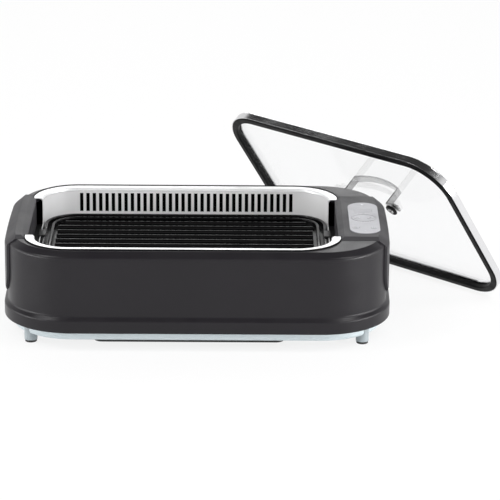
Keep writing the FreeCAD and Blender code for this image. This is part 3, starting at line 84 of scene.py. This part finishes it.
class Tree:
    """A material being built: a Principled shader and short calls for the nodes that feed it."""

    def __init__(self, name, color, roughness, metallic=0.0, **sockets):
        self.material = bpy.data.materials.new(name)
        self.material.use_nodes = True
        self.nodes = self.material.node_tree.nodes
        self.links = self.material.node_tree.links
        self.nodes.clear()
        output = self.nodes.new("ShaderNodeOutputMaterial")
        self.shader = self.nodes.new("ShaderNodeBsdfPrincipled")
        self.links.new(self.shader.outputs[0], output.inputs["Surface"])
        self.shader.inputs["Base Color"].default_value = (*color, 1)
        self.shader.inputs["Roughness"].default_value = roughness
        self.shader.inputs["Metallic"].default_value = metallic
        for socket, value in sockets.items():
            self.shader.inputs[socket.replace("_", " ")].default_value = value
        self.place = None
        self.normal = None

    def coordinates(self, stretch=(1, 1, 1)):
        if self.place is None:
            self.place = self.nodes.new("ShaderNodeTexCoord").outputs["Object"]
        mapping = self.nodes.new("ShaderNodeMapping")
        mapping.inputs["Scale"].default_value = stretch
        self.links.new(self.place, mapping.inputs["Vector"])
        return mapping.outputs[0]

    def noise(self, scale, detail, stretch=(1, 1, 1), roughness=0.5):
        node = self.nodes.new("ShaderNodeTexNoise")
        node.inputs["Scale"].default_value = scale
        node.inputs["Detail"].default_value = detail
        node.inputs["Roughness"].default_value = roughness
        self.links.new(self.coordinates(stretch), node.inputs["Vector"])
        return node.outputs["Fac"]

    def cells(self, scale):
        node = self.nodes.new("ShaderNodeTexVoronoi")
        node.inputs["Scale"].default_value = scale
        self.links.new(self.coordinates(), node.inputs["Vector"])
        return node.outputs["Distance"]

    def remap(self, value, low, high, from_low=0.3, from_high=0.7):
        node = self.nodes.new("ShaderNodeMapRange")
        node.inputs["From Min"].default_value = from_low
        node.inputs["From Max"].default_value = from_high
        node.inputs["To Min"].default_value = low
        node.inputs["To Max"].default_value = high
        self.links.new(value, node.inputs["Value"])
        return node.outputs["Result"]

    def color_from(self, factor, first, second):
        node = self.nodes.new("ShaderNodeMix")
        node.data_type = "RGBA"
        node.inputs[MIX_COLOR_A].default_value = (*first, 1)
        node.inputs[MIX_COLOR_B].default_value = (*second, 1)
        self.links.new(factor, node.inputs["Factor"])
        self.links.new(node.outputs[MIX_COLOR_RESULT], self.shader.inputs["Base Color"])

    def roughness_from(self, value, low, high):
        self.links.new(self.remap(value, low, high), self.shader.inputs["Roughness"])

    def round_edges(self, radius):
        node = self.nodes.new("ShaderNodeBevel")
        node.samples = BEVEL_SAMPLES
        node.inputs["Radius"].default_value = radius
        self.normal = node.outputs[0]
        self.links.new(self.normal, self.shader.inputs["Normal"])

    def bump(self, height, strength, distance):
        node = self.nodes.new("ShaderNodeBump")
        node.inputs["Strength"].default_value = strength
        node.inputs["Distance"].default_value = distance
        self.links.new(height, node.inputs["Height"])
        if self.normal is not None:
            self.links.new(self.normal, node.inputs["Normal"])
        self.normal = node.outputs[0]
        self.links.new(self.normal, self.shader.inputs["Normal"])


def scaled(color, factor):
    return tuple(min(channel * factor, 1) for channel in color)


def moulded(name, color, roughness, edge=0.0006, lift=1.3, gloss=0.3):
    """Moulded plastic: spark-eroded grain, slow tone and gloss drift, soft edges."""
    tree = Tree(name, color, roughness, Specular_IOR_Level=gloss)
    tone = tree.remap(tree.noise(scale=9, detail=4), low=0, high=0.5)
    tree.color_from(tone, color, scaled(color, lift))
    tree.roughness_from(tree.noise(scale=26, detail=5), roughness - 0.05, roughness + 0.06)
    tree.round_edges(edge)
    tree.bump(tree.noise(scale=2600, detail=2), strength=0.35, distance=0.00006)
    return tree.material


def coated_metal(name, color, roughness, flake, coat=0.15):
    """Sprayed metal: fine orange peel and a little flake."""
    tree = Tree(name, color, roughness, Coat_Weight=coat, Coat_Roughness=0.2)
    flecks = tree.remap(tree.cells(scale=1900), low=0, high=1, from_low=0.1, from_high=0.7)
    tree.color_from(flecks, color, flake)
    tree.roughness_from(tree.noise(scale=60, detail=4), roughness - 0.05, roughness + 0.06)
    tree.round_edges(0.0005)
    tree.bump(tree.noise(scale=900, detail=2), strength=0.25, distance=0.00005)
    return tree.material


def brushed(name, color, roughness, stretch=(4, 4, 900), tint=None, metallic=1.0):
    """Brushed sheet: long fine lines with a slow tone drift across the sheet."""
    tree = Tree(name, color, roughness, metallic=metallic)
    lines = tree.noise(scale=2.2, detail=6, stretch=stretch, roughness=0.7)
    tone = tree.remap(tree.noise(scale=5, detail=3), low=0, high=1)
    tree.color_from(tone, color, tint or scaled(color, 0.93))
    tree.roughness_from(lines, roughness - 0.08, roughness + 0.1)
    tree.round_edges(0.0003)
    tree.bump(lines, strength=0.25, distance=0.00004)
    return tree.material


def polished(name, color, roughness):
    """Bright plated metal with faint wipe marks."""
    tree = Tree(name, color, roughness, metallic=1.0)
    wipes = tree.noise(scale=40, detail=6, stretch=(1, 1, 2.5))
    tree.roughness_from(wipes, roughness - 0.03, roughness + 0.05)
    tree.round_edges(0.0003)
    tree.bump(tree.noise(scale=300, detail=2), strength=0.05, distance=0.00002)
    return tree.material


def rubbery(name, color, roughness, sheen=0.1, gloss=0.4):
    """Silicone rubber: dusty, matt patches and a slight pebble."""
    tree = Tree(
        name, color, roughness,
        Sheen_Weight=sheen, Sheen_Roughness=0.5, Specular_IOR_Level=gloss,
    )
    dust = tree.remap(tree.noise(scale=30, detail=5), low=0, high=0.6)
    tree.color_from(dust, color, scaled(color, 2.2))
    tree.roughness_from(tree.noise(scale=80, detail=3), roughness - 0.08, roughness + 0.08)
    tree.round_edges(0.0004)
    tree.bump(tree.noise(scale=1500, detail=3), strength=0.3, distance=0.00006)
    return tree.material


def nonstick(name, color, roughness):
    """Black non-stick coat: glossy, fine speckle and a faint cast texture under it."""
    tree = Tree(name, color, roughness, Specular_IOR_Level=0.25)
    speckle = tree.remap(tree.cells(scale=1300), low=1, high=0, from_low=0.05, from_high=0.12)
    tree.color_from(speckle, color, (0.018, 0.018, 0.019))
    tree.roughness_from(tree.noise(scale=45, detail=5), roughness - 0.06, roughness + 0.09)
    tree.round_edges(0.0007)
    tree.bump(tree.noise(scale=700, detail=3), strength=0.22, distance=0.00008)
    return tree.material


def ceramic(name, color):
    """Unglazed steatite: chalky, with dark specks."""
    tree = Tree(name, color, 0.7)
    specks = tree.remap(tree.cells(scale=420), low=1, high=0, from_low=0.02, from_high=0.1)
    tree.color_from(specks, color, scaled(color, 0.6))
    tree.roughness_from(tree.noise(scale=120, detail=4), 0.6, 0.8)
    tree.round_edges(0.0005)
    tree.bump(tree.noise(scale=800, detail=4), strength=0.4, distance=0.0001)
    return tree.material


def board(name, mask, track):
    """Circuit board: solder mask over a faint pattern of tracks."""
    tree = Tree(name, mask, 0.35, Coat_Weight=0.3, Coat_Roughness=0.15)
    tracks = tree.nodes.new("ShaderNodeTexBrick")
    tracks.inputs["Scale"].default_value = 90
    tracks.inputs["Mortar Size"].default_value = 0.03
    tree.links.new(tree.coordinates(), tracks.inputs["Vector"])
    tree.color_from(tracks.outputs["Fac"], mask, track)
    tree.roughness_from(tree.noise(scale=200, detail=3), 0.3, 0.45)
    tree.bump(tracks.outputs["Fac"], strength=0.2, distance=0.00005)
    return tree.material


def clear_glass(name, color):
    """Tempered sheet glass, mostly see-through, with the slightest waviness."""
    tree = Tree(
        name, color, 0.02,
        Transmission_Weight=1.0, IOR=1.08, Alpha=0.28, Specular_IOR_Level=0.15,
    )
    tree.roughness_from(tree.noise(scale=18, detail=4), 0.0, 0.03)
    tree.bump(tree.noise(scale=7, detail=2), strength=0.04, distance=0.0002)
    return tree.material


def smooth_film(name, color, roughness):
    """Printed film, a window or a mark: smooth, with faint streaks of tone."""
    tree = Tree(name, color, roughness, Coat_Weight=0.2, Coat_Roughness=roughness)
    tone = tree.remap(tree.noise(scale=70, detail=3), low=0, high=1)
    tree.color_from(tone, color, scaled(color, 0.93))
    tree.roughness_from(tree.noise(scale=110, detail=3), roughness - 0.05, roughness + 0.05)
    tree.round_edges(0.0003)
    tree.bump(tree.noise(scale=500, detail=2), strength=0.05, distance=0.00003)
    return tree.material


def make_materials():
    """Every material by its short key. The third value of a row is the roughness."""
    return {
        "shell": moulded("shell_plastic", (0.0098, 0.0087, 0.0107), 0.35, edge=0.0007, gloss=0.27),
        "cover": moulded("cover_plastic", (0.026, 0.0248, 0.0278), 0.46, gloss=0.22),
        "cup": moulded("recess_plastic", (0.012, 0.012, 0.013), 0.5),
        "base": moulded("base_plastic", (0.02, 0.02, 0.02), 0.5),
        "foot": moulded("foot_plastic", (0.3, 0.335, 0.352), 0.4, lift=1.1),
        "chamber": moulded("chamber_enamel", (0.006, 0.006, 0.006), 0.5, gloss=0.15),
        # Smoke duct and its ends: the near-black is painted shade, the darkness inside the duct
        # seen through the liner's slots
        "duct": moulded("duct_painted_shade", (0.002, 0.002, 0.002), 0.6, gloss=0.06),
        "scroll": moulded("fan_plastic", (0.02, 0.02, 0.02), 0.45),
        "relay": moulded("relay_plastic", (0.02, 0.09, 0.3), 0.3, lift=1.1),
        "black_part": moulded("black_component", (0.02, 0.02, 0.02), 0.35),
        # Painted shade for the screw heads' cross recesses, drawn on the heads as dark crosses
        "recess_shade": moulded("recess_painted_shade", (0.006, 0.006, 0.006), 0.7),
        "pan": coated_metal("pan_paint", (0.43, 0.495, 0.52), 0.38, flake=(0.53, 0.59, 0.61)),
        "keypad": coated_metal(
            "keypad_silver", (0.31, 0.31, 0.333), 0.42, flake=(0.37, 0.37, 0.392), coat=0.05,
        ),
        "key": coated_metal(
            "key_silver", (0.34, 0.34, 0.362), 0.4, flake=(0.4, 0.4, 0.422), coat=0.05,
        ),
        "tab": coated_metal(
            "tab_enamel", (0.014, 0.014, 0.014), 0.35, flake=(0.025, 0.025, 0.025),
        ),
        "motor": coated_metal("motor_case", (0.28, 0.28, 0.29), 0.4, flake=(0.33, 0.33, 0.34)),
        "liner": brushed(
            "liner_steel", (0.93, 0.93, 0.94), 0.38, tint=(0.84, 0.835, 0.825), metallic=0.25,
        ),
        "trim": brushed(
            "trim_steel", (0.86, 0.86, 0.87), 0.3, tint=(0.8, 0.8, 0.8), metallic=0.4,
        ),
        "screw": brushed("screw_steel", (0.55, 0.55, 0.56), 0.3, stretch=(300, 300, 300)),
        "clip": brushed("clip_steel", (0.5, 0.49, 0.48), 0.35, stretch=(60, 60, 300)),
        "bracket": brushed("bracket_steel", (0.5, 0.51, 0.52), 0.4, stretch=(30, 30, 500)),
        "element": brushed("element_sheath", (0.16, 0.15, 0.145), 0.42, stretch=(40, 40, 40)),
        "brass": brushed("pin_brass", (0.72, 0.56, 0.26), 0.28, stretch=(200, 200, 30)),
        "band": polished("band_chrome", (0.78, 0.78, 0.79), 0.1),
        "handle": polished("handle_chrome", (0.42, 0.42, 0.42), 0.16),
        "rubber": rubbery("black_rubber", (0.012, 0.012, 0.012), 0.55),
        "seal": rubbery("seal_silicone", (0.0015, 0.0015, 0.0017), 0.5, sheen=0.0, gloss=0.12),
        "plate": nonstick("plate_coating", (0.002, 0.002, 0.0022), 0.15),
        "tray": nonstick("tray_coating", (0.012, 0.012, 0.012), 0.35),
        "ceramic": ceramic("terminal_ceramic", (0.66, 0.64, 0.58)),
        "board": board("circuit_board", mask=(0.02, 0.16, 0.06), track=(0.05, 0.28, 0.12)),
        "glass": clear_glass("lid_glass", (0.82, 0.83, 0.845)),
        "display": smooth_film("display_window", (0.33, 0.33, 0.355), 0.4),
        "lens": smooth_film("lens_plastic", (0.55, 0.56, 0.59), 0.3),
        "mark": smooth_film("mark_print", (0.78, 0.78, 0.8), 0.35),
        "mark_dark": smooth_film("mark_dark", (0.11, 0.11, 0.118), 0.35),
    }


NODES_OF_MATERIAL = {
    "shell": ("outer_housing", "housing_bezel"),
    "cover": ("left_end_cover", "right_end_cover"),
    "cup": ("left_handle_cup", "right_handle_cup"),
    "base": ("base_cover",),
    "foot": ("foot_posts",),
    "chamber": ("inner_chamber",),
    "duct": ("smoke_duct", "duct_ends"),
    "scroll": ("fan_scroll", "fan_inlet_ring", "fan_impeller"),
    "relay": ("relay_block",),
    "black_part": ("tact_switches", "display_module", "board_posts"),
    "pan": ("bottom_pan",),
    "keypad": ("keypad_plate",),
    "key": ("temp_down_key", "temp_up_key", "power_key", "fan_key"),
    "tab": ("plate_tabs",),
    "motor": ("fan_motor", "capacitor"),
    "liner": ("heat_liner", "slot_screen"),
    "trim": ("rim_trim",),
    "screw": (
        "board_screws", "motor_shaft", "hub_nut", "motor_screws", "pan_screws", "base_screws",
        "cover_screws",
    ),
    "clip": ("element_clips",),
    "bracket": ("motor_bracket",),
    "element": ("heating_element",),
    "brass": ("contact_pins",),
    "band": ("lid_band",),
    "handle": ("lid_handle", "lid_screws"),
    "rubber": ("foot_pads", "rim_gasket", "cord_gland"),
    "seal": ("lid_seal", "lid_washers"),
    "plate": ("grill_plate", "plate_ridges"),
    "tray": ("drip_tray",),
    "ceramic": ("terminal_block", "heater_socket", "thermal_cutout"),
    "board": ("control_board", "power_board"),
    "glass": ("lid_glass",),
    "display": ("display_window",),
    "lens": ("status_lenses",),
}


def dress_nodes(materials):
    key_of_node = {name: key for key, names in NODES_OF_MATERIAL.items() for name in names}
    for name, node in nodes.items():
        material = materials[key_of_node[name]]
        if node.material_slots:
            for place in node.material_slots:
                place.material = material
        else:
            node.data.materials.append(material)


# Pieces that are built here

SAME_PLANE = 0.00002


def raise_faces(tool, step):
    """Closes flat faces into a solid that thick, with walls along their outer edges only."""
    raised = bmesh.ops.extrude_face_region(tool, geom=tool.faces[:], use_keep_orig=True)
    for item in raised["geom"]:
        if isinstance(item, bmesh.types.BMVert):
            item.co += step
    bmesh.ops.recalc_face_normals(tool, faces=tool.faces)


def add_piece(name, tool, body, material):
    """Turns a finished bmesh into an object that rides on a body and has a slot."""
    mesh = bpy.data.meshes.new(name)
    tool.to_mesh(mesh)
    tool.free()
    mesh.materials.append(material)
    piece = bpy.data.objects.new(name, mesh)
    scene.collection.objects.link(piece)
    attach(piece, body)


# Marks on the keypad, drawn as thin solids. Lengths are in metres, angles in degrees.

MARK_THICK = 0.00006
MARK_WELD = 1e-7
SIGN_LENGTH = 0.0042
SIGN_WIDTH = 0.001
POWER_RING = (0.0016, 0.0022)
POWER_ARC = (125, 415)
POWER_BAR_LENGTH = 0.0022
POWER_BAR_WIDTH = 0.0006
POWER_BAR_RISE = 0.0016
FAN_LEAVES = 3
FAN_RADIUS = 0.0027
FAN_HUB_RADIUS = 0.0004
LEAF_STEPS = 8
LEAF_BEHIND = 8
LEAF_SWEEP = 50
LEAF_ROOT = 0.2
LEAF_ROOT_TURN = 20
DOTS = 7
DOT_RADIUS = 0.0006
DOT_CIRCLE = 0.0188
DOT_SPACING = 11
FRONT = 270
ARC_RING = (0.0184, 0.019)
ARC_SPANS = ((52, 84), (96, 128))
LINE_RING = (0.0167, 0.0173)


def polar(x, y, radius, degrees):
    angle = math.radians(degrees)
    return x + radius * math.cos(angle), y + radius * math.sin(angle)


def ring_loops(x, y, radii, span=(0, 360), steps=48):
    """Quads of a flat ring or part of one."""
    (inner, outer), (start, end) = radii, span
    quads = []
    for index in range(steps):
        first = start + (end - start) * index / steps
        last = start + (end - start) * (index + 1) / steps
        quads.append([
            polar(x, y, inner, first), polar(x, y, outer, first),
            polar(x, y, outer, last), polar(x, y, inner, last),
        ])
    return quads


def disc_loop(x, y, radius, steps):
    return [polar(x, y, radius, 360 * index / steps) for index in range(steps)]


def bar_loop(x, y, length, width):
    """A rectangle, its length along x and its width along y."""
    return [
        (x - length / 2, y - width / 2), (x + length / 2, y - width / 2),
        (x + length / 2, y + width / 2), (x - length / 2, y + width / 2),
    ]


def leaf_loop(x, y, angle):
    """One leaf of the fan mark: its tip runs outwards as it sweeps, from 0.6 of the radius."""
    points = []
    for index in range(LEAF_STEPS + 1):
        part = index / LEAF_STEPS
        reach = 0.25 + 0.75 * math.sin(math.pi * (0.15 + 0.35 * part))
        points.append(polar(x, y, FAN_RADIUS * reach, angle - LEAF_BEHIND + LEAF_SWEEP * part))
    points.append(polar(x, y, FAN_RADIUS * LEAF_ROOT, angle + LEAF_ROOT_TURN))
    return points


def mark(name, loops, z, body, material):
    tool = bmesh.new()
    for loop in loops:
        tool.faces.new([tool.verts.new((x, y, z)) for x, y in loop])
    bmesh.ops.remove_doubles(tool, verts=tool.verts, dist=MARK_WELD)
    raise_faces(tool, Vector((0, 0, MARK_THICK)))
    add_piece(name, tool, body, material)


def centre_of(node):
    """Middle of a node's box, and the height of its top."""
    low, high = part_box(node)
    return (low + high) / 2, high.z


def make_marks(materials):
    light, dark = materials["mark"], materials["mark_dark"]

    minus, top = centre_of("temp_down_key")
    bar = bar_loop(minus.x, minus.y, SIGN_LENGTH, SIGN_WIDTH)
    mark("minus_mark", [bar], top, "temp_down_key", dark)

    plus, top = centre_of("temp_up_key")
    bar = bar_loop(plus.x, plus.y, SIGN_LENGTH, SIGN_WIDTH)
    arm, offset = (SIGN_LENGTH - SIGN_WIDTH) / 2, (SIGN_LENGTH + SIGN_WIDTH) / 4
    arms = [bar_loop(plus.x, plus.y + side * offset, SIGN_WIDTH, arm) for side in (1, -1)]
    mark("plus_mark", [bar] + arms, top, "temp_up_key", dark)

    power, top = centre_of("power_key")
    ring = ring_loops(power.x, power.y, POWER_RING, POWER_ARC, steps=30)
    bar = bar_loop(power.x, power.y + POWER_BAR_RISE, POWER_BAR_WIDTH, POWER_BAR_LENGTH)
    mark("power_mark", ring + [bar], top, "power_key", dark)

    fan, top = centre_of("fan_key")
    leaves = [leaf_loop(fan.x, fan.y, 90 + 360 / FAN_LEAVES * index) for index in range(FAN_LEAVES)]
    hub = disc_loop(fan.x, fan.y, FAN_HUB_RADIUS, steps=24)
    mark("fan_mark", leaves + [hub], top, "fan_key", dark)

    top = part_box("display_window")[1].z
    middle = (minus + plus) / 2
    dots = []
    for index in range(DOTS):
        angle = FRONT + (index - DOTS // 2) * DOT_SPACING
        dots.append(disc_loop(*polar(middle.x, middle.y, DOT_CIRCLE, angle), DOT_RADIUS, steps=16))
    mark("level_dots", dots, top, "grill_body", light)
    arcs = []
    for span in ARC_SPANS:
        arcs += ring_loops(middle.x, middle.y, ARC_RING, span, steps=12)
    mark("ring_arcs", arcs, top, "grill_body", light)
    line = ring_loops(middle.x, middle.y, LINE_RING)
    mark("ring_line", line, top, "grill_body", dark)


# Cross recesses of the screw heads, drawn as thin dark solids: painted shade where the hollows
# would be

SMALL_CROSS = 0.0026
LID_CROSS = 0.0046
SORT_DIGITS = 4


def cross_recess(name, centre, direction, size, body, material):
    """A dark cross of painted recess shade on a screw head, a hair proud of it, with slots a
    quarter of its size wide.
    """
    normal = Vector(direction).normalized()
    side = normal.orthogonal().normalized()
    other = normal.cross(side)
    tip, slot_half = size / 2, size / 8
    outline = [
        (slot_half, tip), (-slot_half, tip), (-slot_half, slot_half),
        (-tip, slot_half), (-tip, -slot_half), (-slot_half, -slot_half),
        (-slot_half, -tip), (slot_half, -tip), (slot_half, -slot_half),
        (tip, -slot_half), (tip, slot_half), (slot_half, slot_half),
    ]
    tool = bmesh.new()
    tool.faces.new([tool.verts.new(centre + side * u + other * v) for u, v in outline])
    raise_faces(tool, normal * MARK_THICK)
    add_piece(name, tool, body, material)


def heads(node, direction):
    """Centre of the outermost face of each screw in a node, along a direction."""
    mesh = nodes[node].data
    normal = Vector(direction).normalized()
    owner = list(range(len(mesh.vertices)))

    def root(index):
        while owner[index] != index:
            owner[index] = owner[owner[index]]
            index = owner[index]
        return index

    for edge in mesh.edges:
        owner[root(edge.vertices[0])] = root(edge.vertices[1])
    islands = {}
    for vertex in mesh.vertices:
        islands.setdefault(root(vertex.index), []).append(vertex.co)
    centres = []
    for points in islands.values():
        far = max(point.dot(normal) for point in points)
        face = [point for point in points if point.dot(normal) > far - SAME_PLANE]
        centres.append(sum(face, Vector()) / len(face))
    return sorted(centres, key=lambda place: [round(value, SORT_DIGITS) for value in place[:2]])


def lid_outward():
    """Unit vector out of the lid's top, from the flat faces of its glass."""
    largest = max(nodes["lid_glass"].data.polygons, key=lambda face: face.area)
    normal = largest.normal.copy()
    return normal if normal.y > 0 else -normal


def make_recesses(materials):
    down = (0, 0, -1)
    outward = lid_outward()
    rows = [
        ("base_screws", down, SMALL_CROSS, "grill_body", "screw_steel"),
        ("pan_screws", down, SMALL_CROSS, "grill_body", "screw_steel"),
        ("lid_screws", outward, LID_CROSS, "lid", "handle_chrome"),
        ("lid_screws", -outward, LID_CROSS, "lid", "handle_chrome"),
    ]
    for row, (node, direction, size, body, slot) in enumerate(rows):
        for index, centre in enumerate(heads(node, direction)):
            name = "%s_recess_%d_%d" % (node, row, index)
            cross_recess(name, centre, direction, size, body, materials["recess_shade"])


# Dark bead along the lip's outer edge: the gasket's crest, raised so that it also draws painted
# shade of the gap between the steel lip and the rim

BEAD_RISE = 0.0018
BEAD_ROUND = 0.00035
ROUND_STEPS = 2
FACES_UP = 0.99
UPRIGHT = 0.5
WELD_DIGITS = 6


def make_bead(materials):
    """The seal's crest: its flat top carried up past the steel lip, shoulders rounded, partly
    gasket and partly painted shade of the gap.
    """
    source = nodes["rim_gasket"].data
    top = max(vertex.co.z for vertex in source.vertices)
    tool = bmesh.new()
    made = {}
    for face in source.polygons:
        points = [source.vertices[index].co for index in face.vertices]
        if face.normal.z <= FACES_UP or any(point.z <= top - SAME_PLANE for point in points):
            continue
        corners = []
        for point in points:
            place = tuple(round(value, WELD_DIGITS) for value in point)
            if place not in made:
                made[place] = tool.verts.new(place)
            corners.append(made[place])
        if len(set(corners)) == len(corners) and tool.faces.get(corners) is None:
            tool.faces.new(corners)
    raise_faces(tool, Vector((0, 0, BEAD_RISE)))
    shoulders = [
        edge for edge in tool.edges
        if all(vertex.co.z > top + BEAD_RISE / 2 for vertex in edge.verts)
        and any(abs(face.normal.z) < UPRIGHT for face in edge.link_faces)
    ]
    bmesh.ops.bevel(
        tool, geom=shoulders, offset=BEAD_ROUND, segments=ROUND_STEPS, profile=0.5, affect="EDGES",
    )
    add_piece("rim_bead_and_gap_shade", tool, "grill_body", materials["seal"])


# Stage: floor, world and lamps

FLOOR_SIZE = 14
FLOOR_PALE = (0.86, 0.86, 0.865, 1)
FLOOR_CATCH = (0.13, 0.13, 0.13, 1)
FLOOR_GLOW = 0.83
WHITE = (1, 1, 1, 1)
EVEN_LIGHT = 0.6
# What gloss mirrors: this grey, fading with height between the two limits, which are directions' Z
GLOSS_GREY = (0.8, 0.8, 0.8, 1)
GLOSS_OVERHEAD = 0.05
HORIZON_TOP = 0.42
CEILING_START = 0.7

# Each lamp's name, place, target, size, watts and whether it shows in gloss
LAMPS = (
    ("left_softbox", (-1.8, -0.85, 2.4), (0, 0, 0.1), (0.6, 1.2), 27, True),
    ("right_softbox", (1.8, -0.85, 2.4), (0.1, 0, 0.1), (0.6, 1.2), 27, True),
    ("rear_softbox", (0, 1.9, 2.1), (0, 0.1, 0.1), (2.6, 0.8), 18, True),
    ("rear_strip", (0, 3, 1.12), (0, 0, 0.14), (1.5, 0.42), 6, True),
    ("left_strip", (-1.5, 0, 0.3), (0, 0, 0.1), (1, 0.55), 4, True),
    ("right_strip", (1.5, -0.1, 0.3), (0.1, 0, 0.1), (1, 0.55), 5, True),
    ("left_corner_strip", (-1.45, -0.7, 0.17), (-0.15, 0, 0.1), (0.9, 0.3), 8, True),
    ("right_corner_strip", (1.45, -0.7, 0.17), (0.15, 0, 0.1), (0.9, 0.3), 14, True),
    ("front_fill", (0, -2.2, 2.2), (0, 0, 0.1), (2.4, 1), 19, False),
)


def shader(tree, kind, color, strength=None):
    node = tree.nodes.new(kind)
    node.inputs["Color"].default_value = color
    if strength is not None:
        node.inputs["Strength"].default_value = strength
    return node.outputs[0]


def mixed(tree, factor, first, second):
    node = tree.nodes.new("ShaderNodeMixShader")
    tree.links.new(factor, node.inputs["Fac"])
    tree.links.new(first, node.inputs[1])
    tree.links.new(second, node.inputs[2])
    return node.outputs[0]


def seen_ray(tree, light_path):
    """One for camera, glossy and transmission rays."""
    value = light_path.outputs["Is Camera Ray"]
    for kind in ("Is Glossy Ray", "Is Transmission Ray"):
        node = tree.nodes.new("ShaderNodeMath")
        node.operation = "MAXIMUM"
        tree.links.new(value, node.inputs[0])
        tree.links.new(light_path.outputs[kind], node.inputs[1])
        value = node.outputs[0]
    return value


def floor_material():
    """Pale floor: rays that are seen meet white, less the object's shadow."""
    material = bpy.data.materials.new("studio_floor")
    material.use_nodes = True
    tree = material.node_tree
    tree.nodes.clear()
    output = tree.nodes.new("ShaderNodeOutputMaterial")
    light_path = tree.nodes.new("ShaderNodeLightPath")
    pale = shader(tree, "ShaderNodeBsdfDiffuse", FLOOR_PALE)
    catcher = shader(tree, "ShaderNodeBsdfDiffuse", FLOOR_CATCH)
    glow = shader(tree, "ShaderNodeEmission", WHITE, FLOOR_GLOW)
    both = tree.nodes.new("ShaderNodeAddShader")
    tree.links.new(catcher, both.inputs[0])
    tree.links.new(glow, both.inputs[1])
    surface = mixed(tree, seen_ray(tree, light_path), pale, both.outputs[0])
    tree.links.new(surface, output.inputs["Surface"])
    return material


def make_world():
    """White to the eye, a pale horizon and dark ceiling in gloss, soft even light for the rest."""
    world = bpy.data.worlds.new("studio")
    scene.world = world
    world.use_nodes = True
    tree = world.node_tree
    tree.nodes.clear()
    output = tree.nodes.new("ShaderNodeOutputWorld")
    light_path = tree.nodes.new("ShaderNodeLightPath")
    lighting = shader(tree, "ShaderNodeBackground", WHITE, EVEN_LIGHT)
    white = shader(tree, "ShaderNodeBackground", WHITE, 1.0)
    coordinates = tree.nodes.new("ShaderNodeTexCoord")
    split = tree.nodes.new("ShaderNodeSeparateXYZ")
    tree.links.new(coordinates.outputs["Generated"], split.inputs[0])
    ceiling = tree.nodes.new("ShaderNodeMapRange")
    ceiling.interpolation_type = "SMOOTHSTEP"
    ceiling.inputs["From Min"].default_value = HORIZON_TOP
    ceiling.inputs["From Max"].default_value = CEILING_START
    ceiling.inputs["To Min"].default_value = 1.0
    ceiling.inputs["To Max"].default_value = GLOSS_OVERHEAD
    tree.links.new(split.outputs["Z"], ceiling.inputs["Value"])
    gloss = shader(tree, "ShaderNodeBackground", GLOSS_GREY)
    tree.links.new(ceiling.outputs["Result"], gloss.node.inputs["Strength"])
    seen = mixed(tree, light_path.outputs["Is Glossy Ray"], white, gloss)
    surface = mixed(tree, seen_ray(tree, light_path), lighting, seen)
    tree.links.new(surface, output.inputs["Surface"])


def add_lamp(name, place, target, size, power, mirrored):
    data = bpy.data.lights.new(name, "AREA")
    data.shape = "RECTANGLE"
    data.size, data.size_y = size
    data.energy = power
    item = bpy.data.objects.new(name, data)
    item.location = place
    item.rotation_euler = (Vector(target) - Vector(place)).to_track_quat("-Z", "Y").to_euler()
    item.visible_glossy = mirrored
    scene.collection.objects.link(item)


def make_stage():
    bpy.ops.mesh.primitive_plane_add(size=FLOOR_SIZE)
    floor = bpy.context.object
    floor.name = "studio_floor"
    floor.data.materials.append(floor_material())
    for row in LAMPS:
        add_lamp(*row)


make_camera()
materials = make_materials()
dress_nodes(materials)
make_marks(materials)
make_recesses(materials)
make_bead(materials)
make_world()
make_stage()
scene.view_settings.view_transform = "Standard"
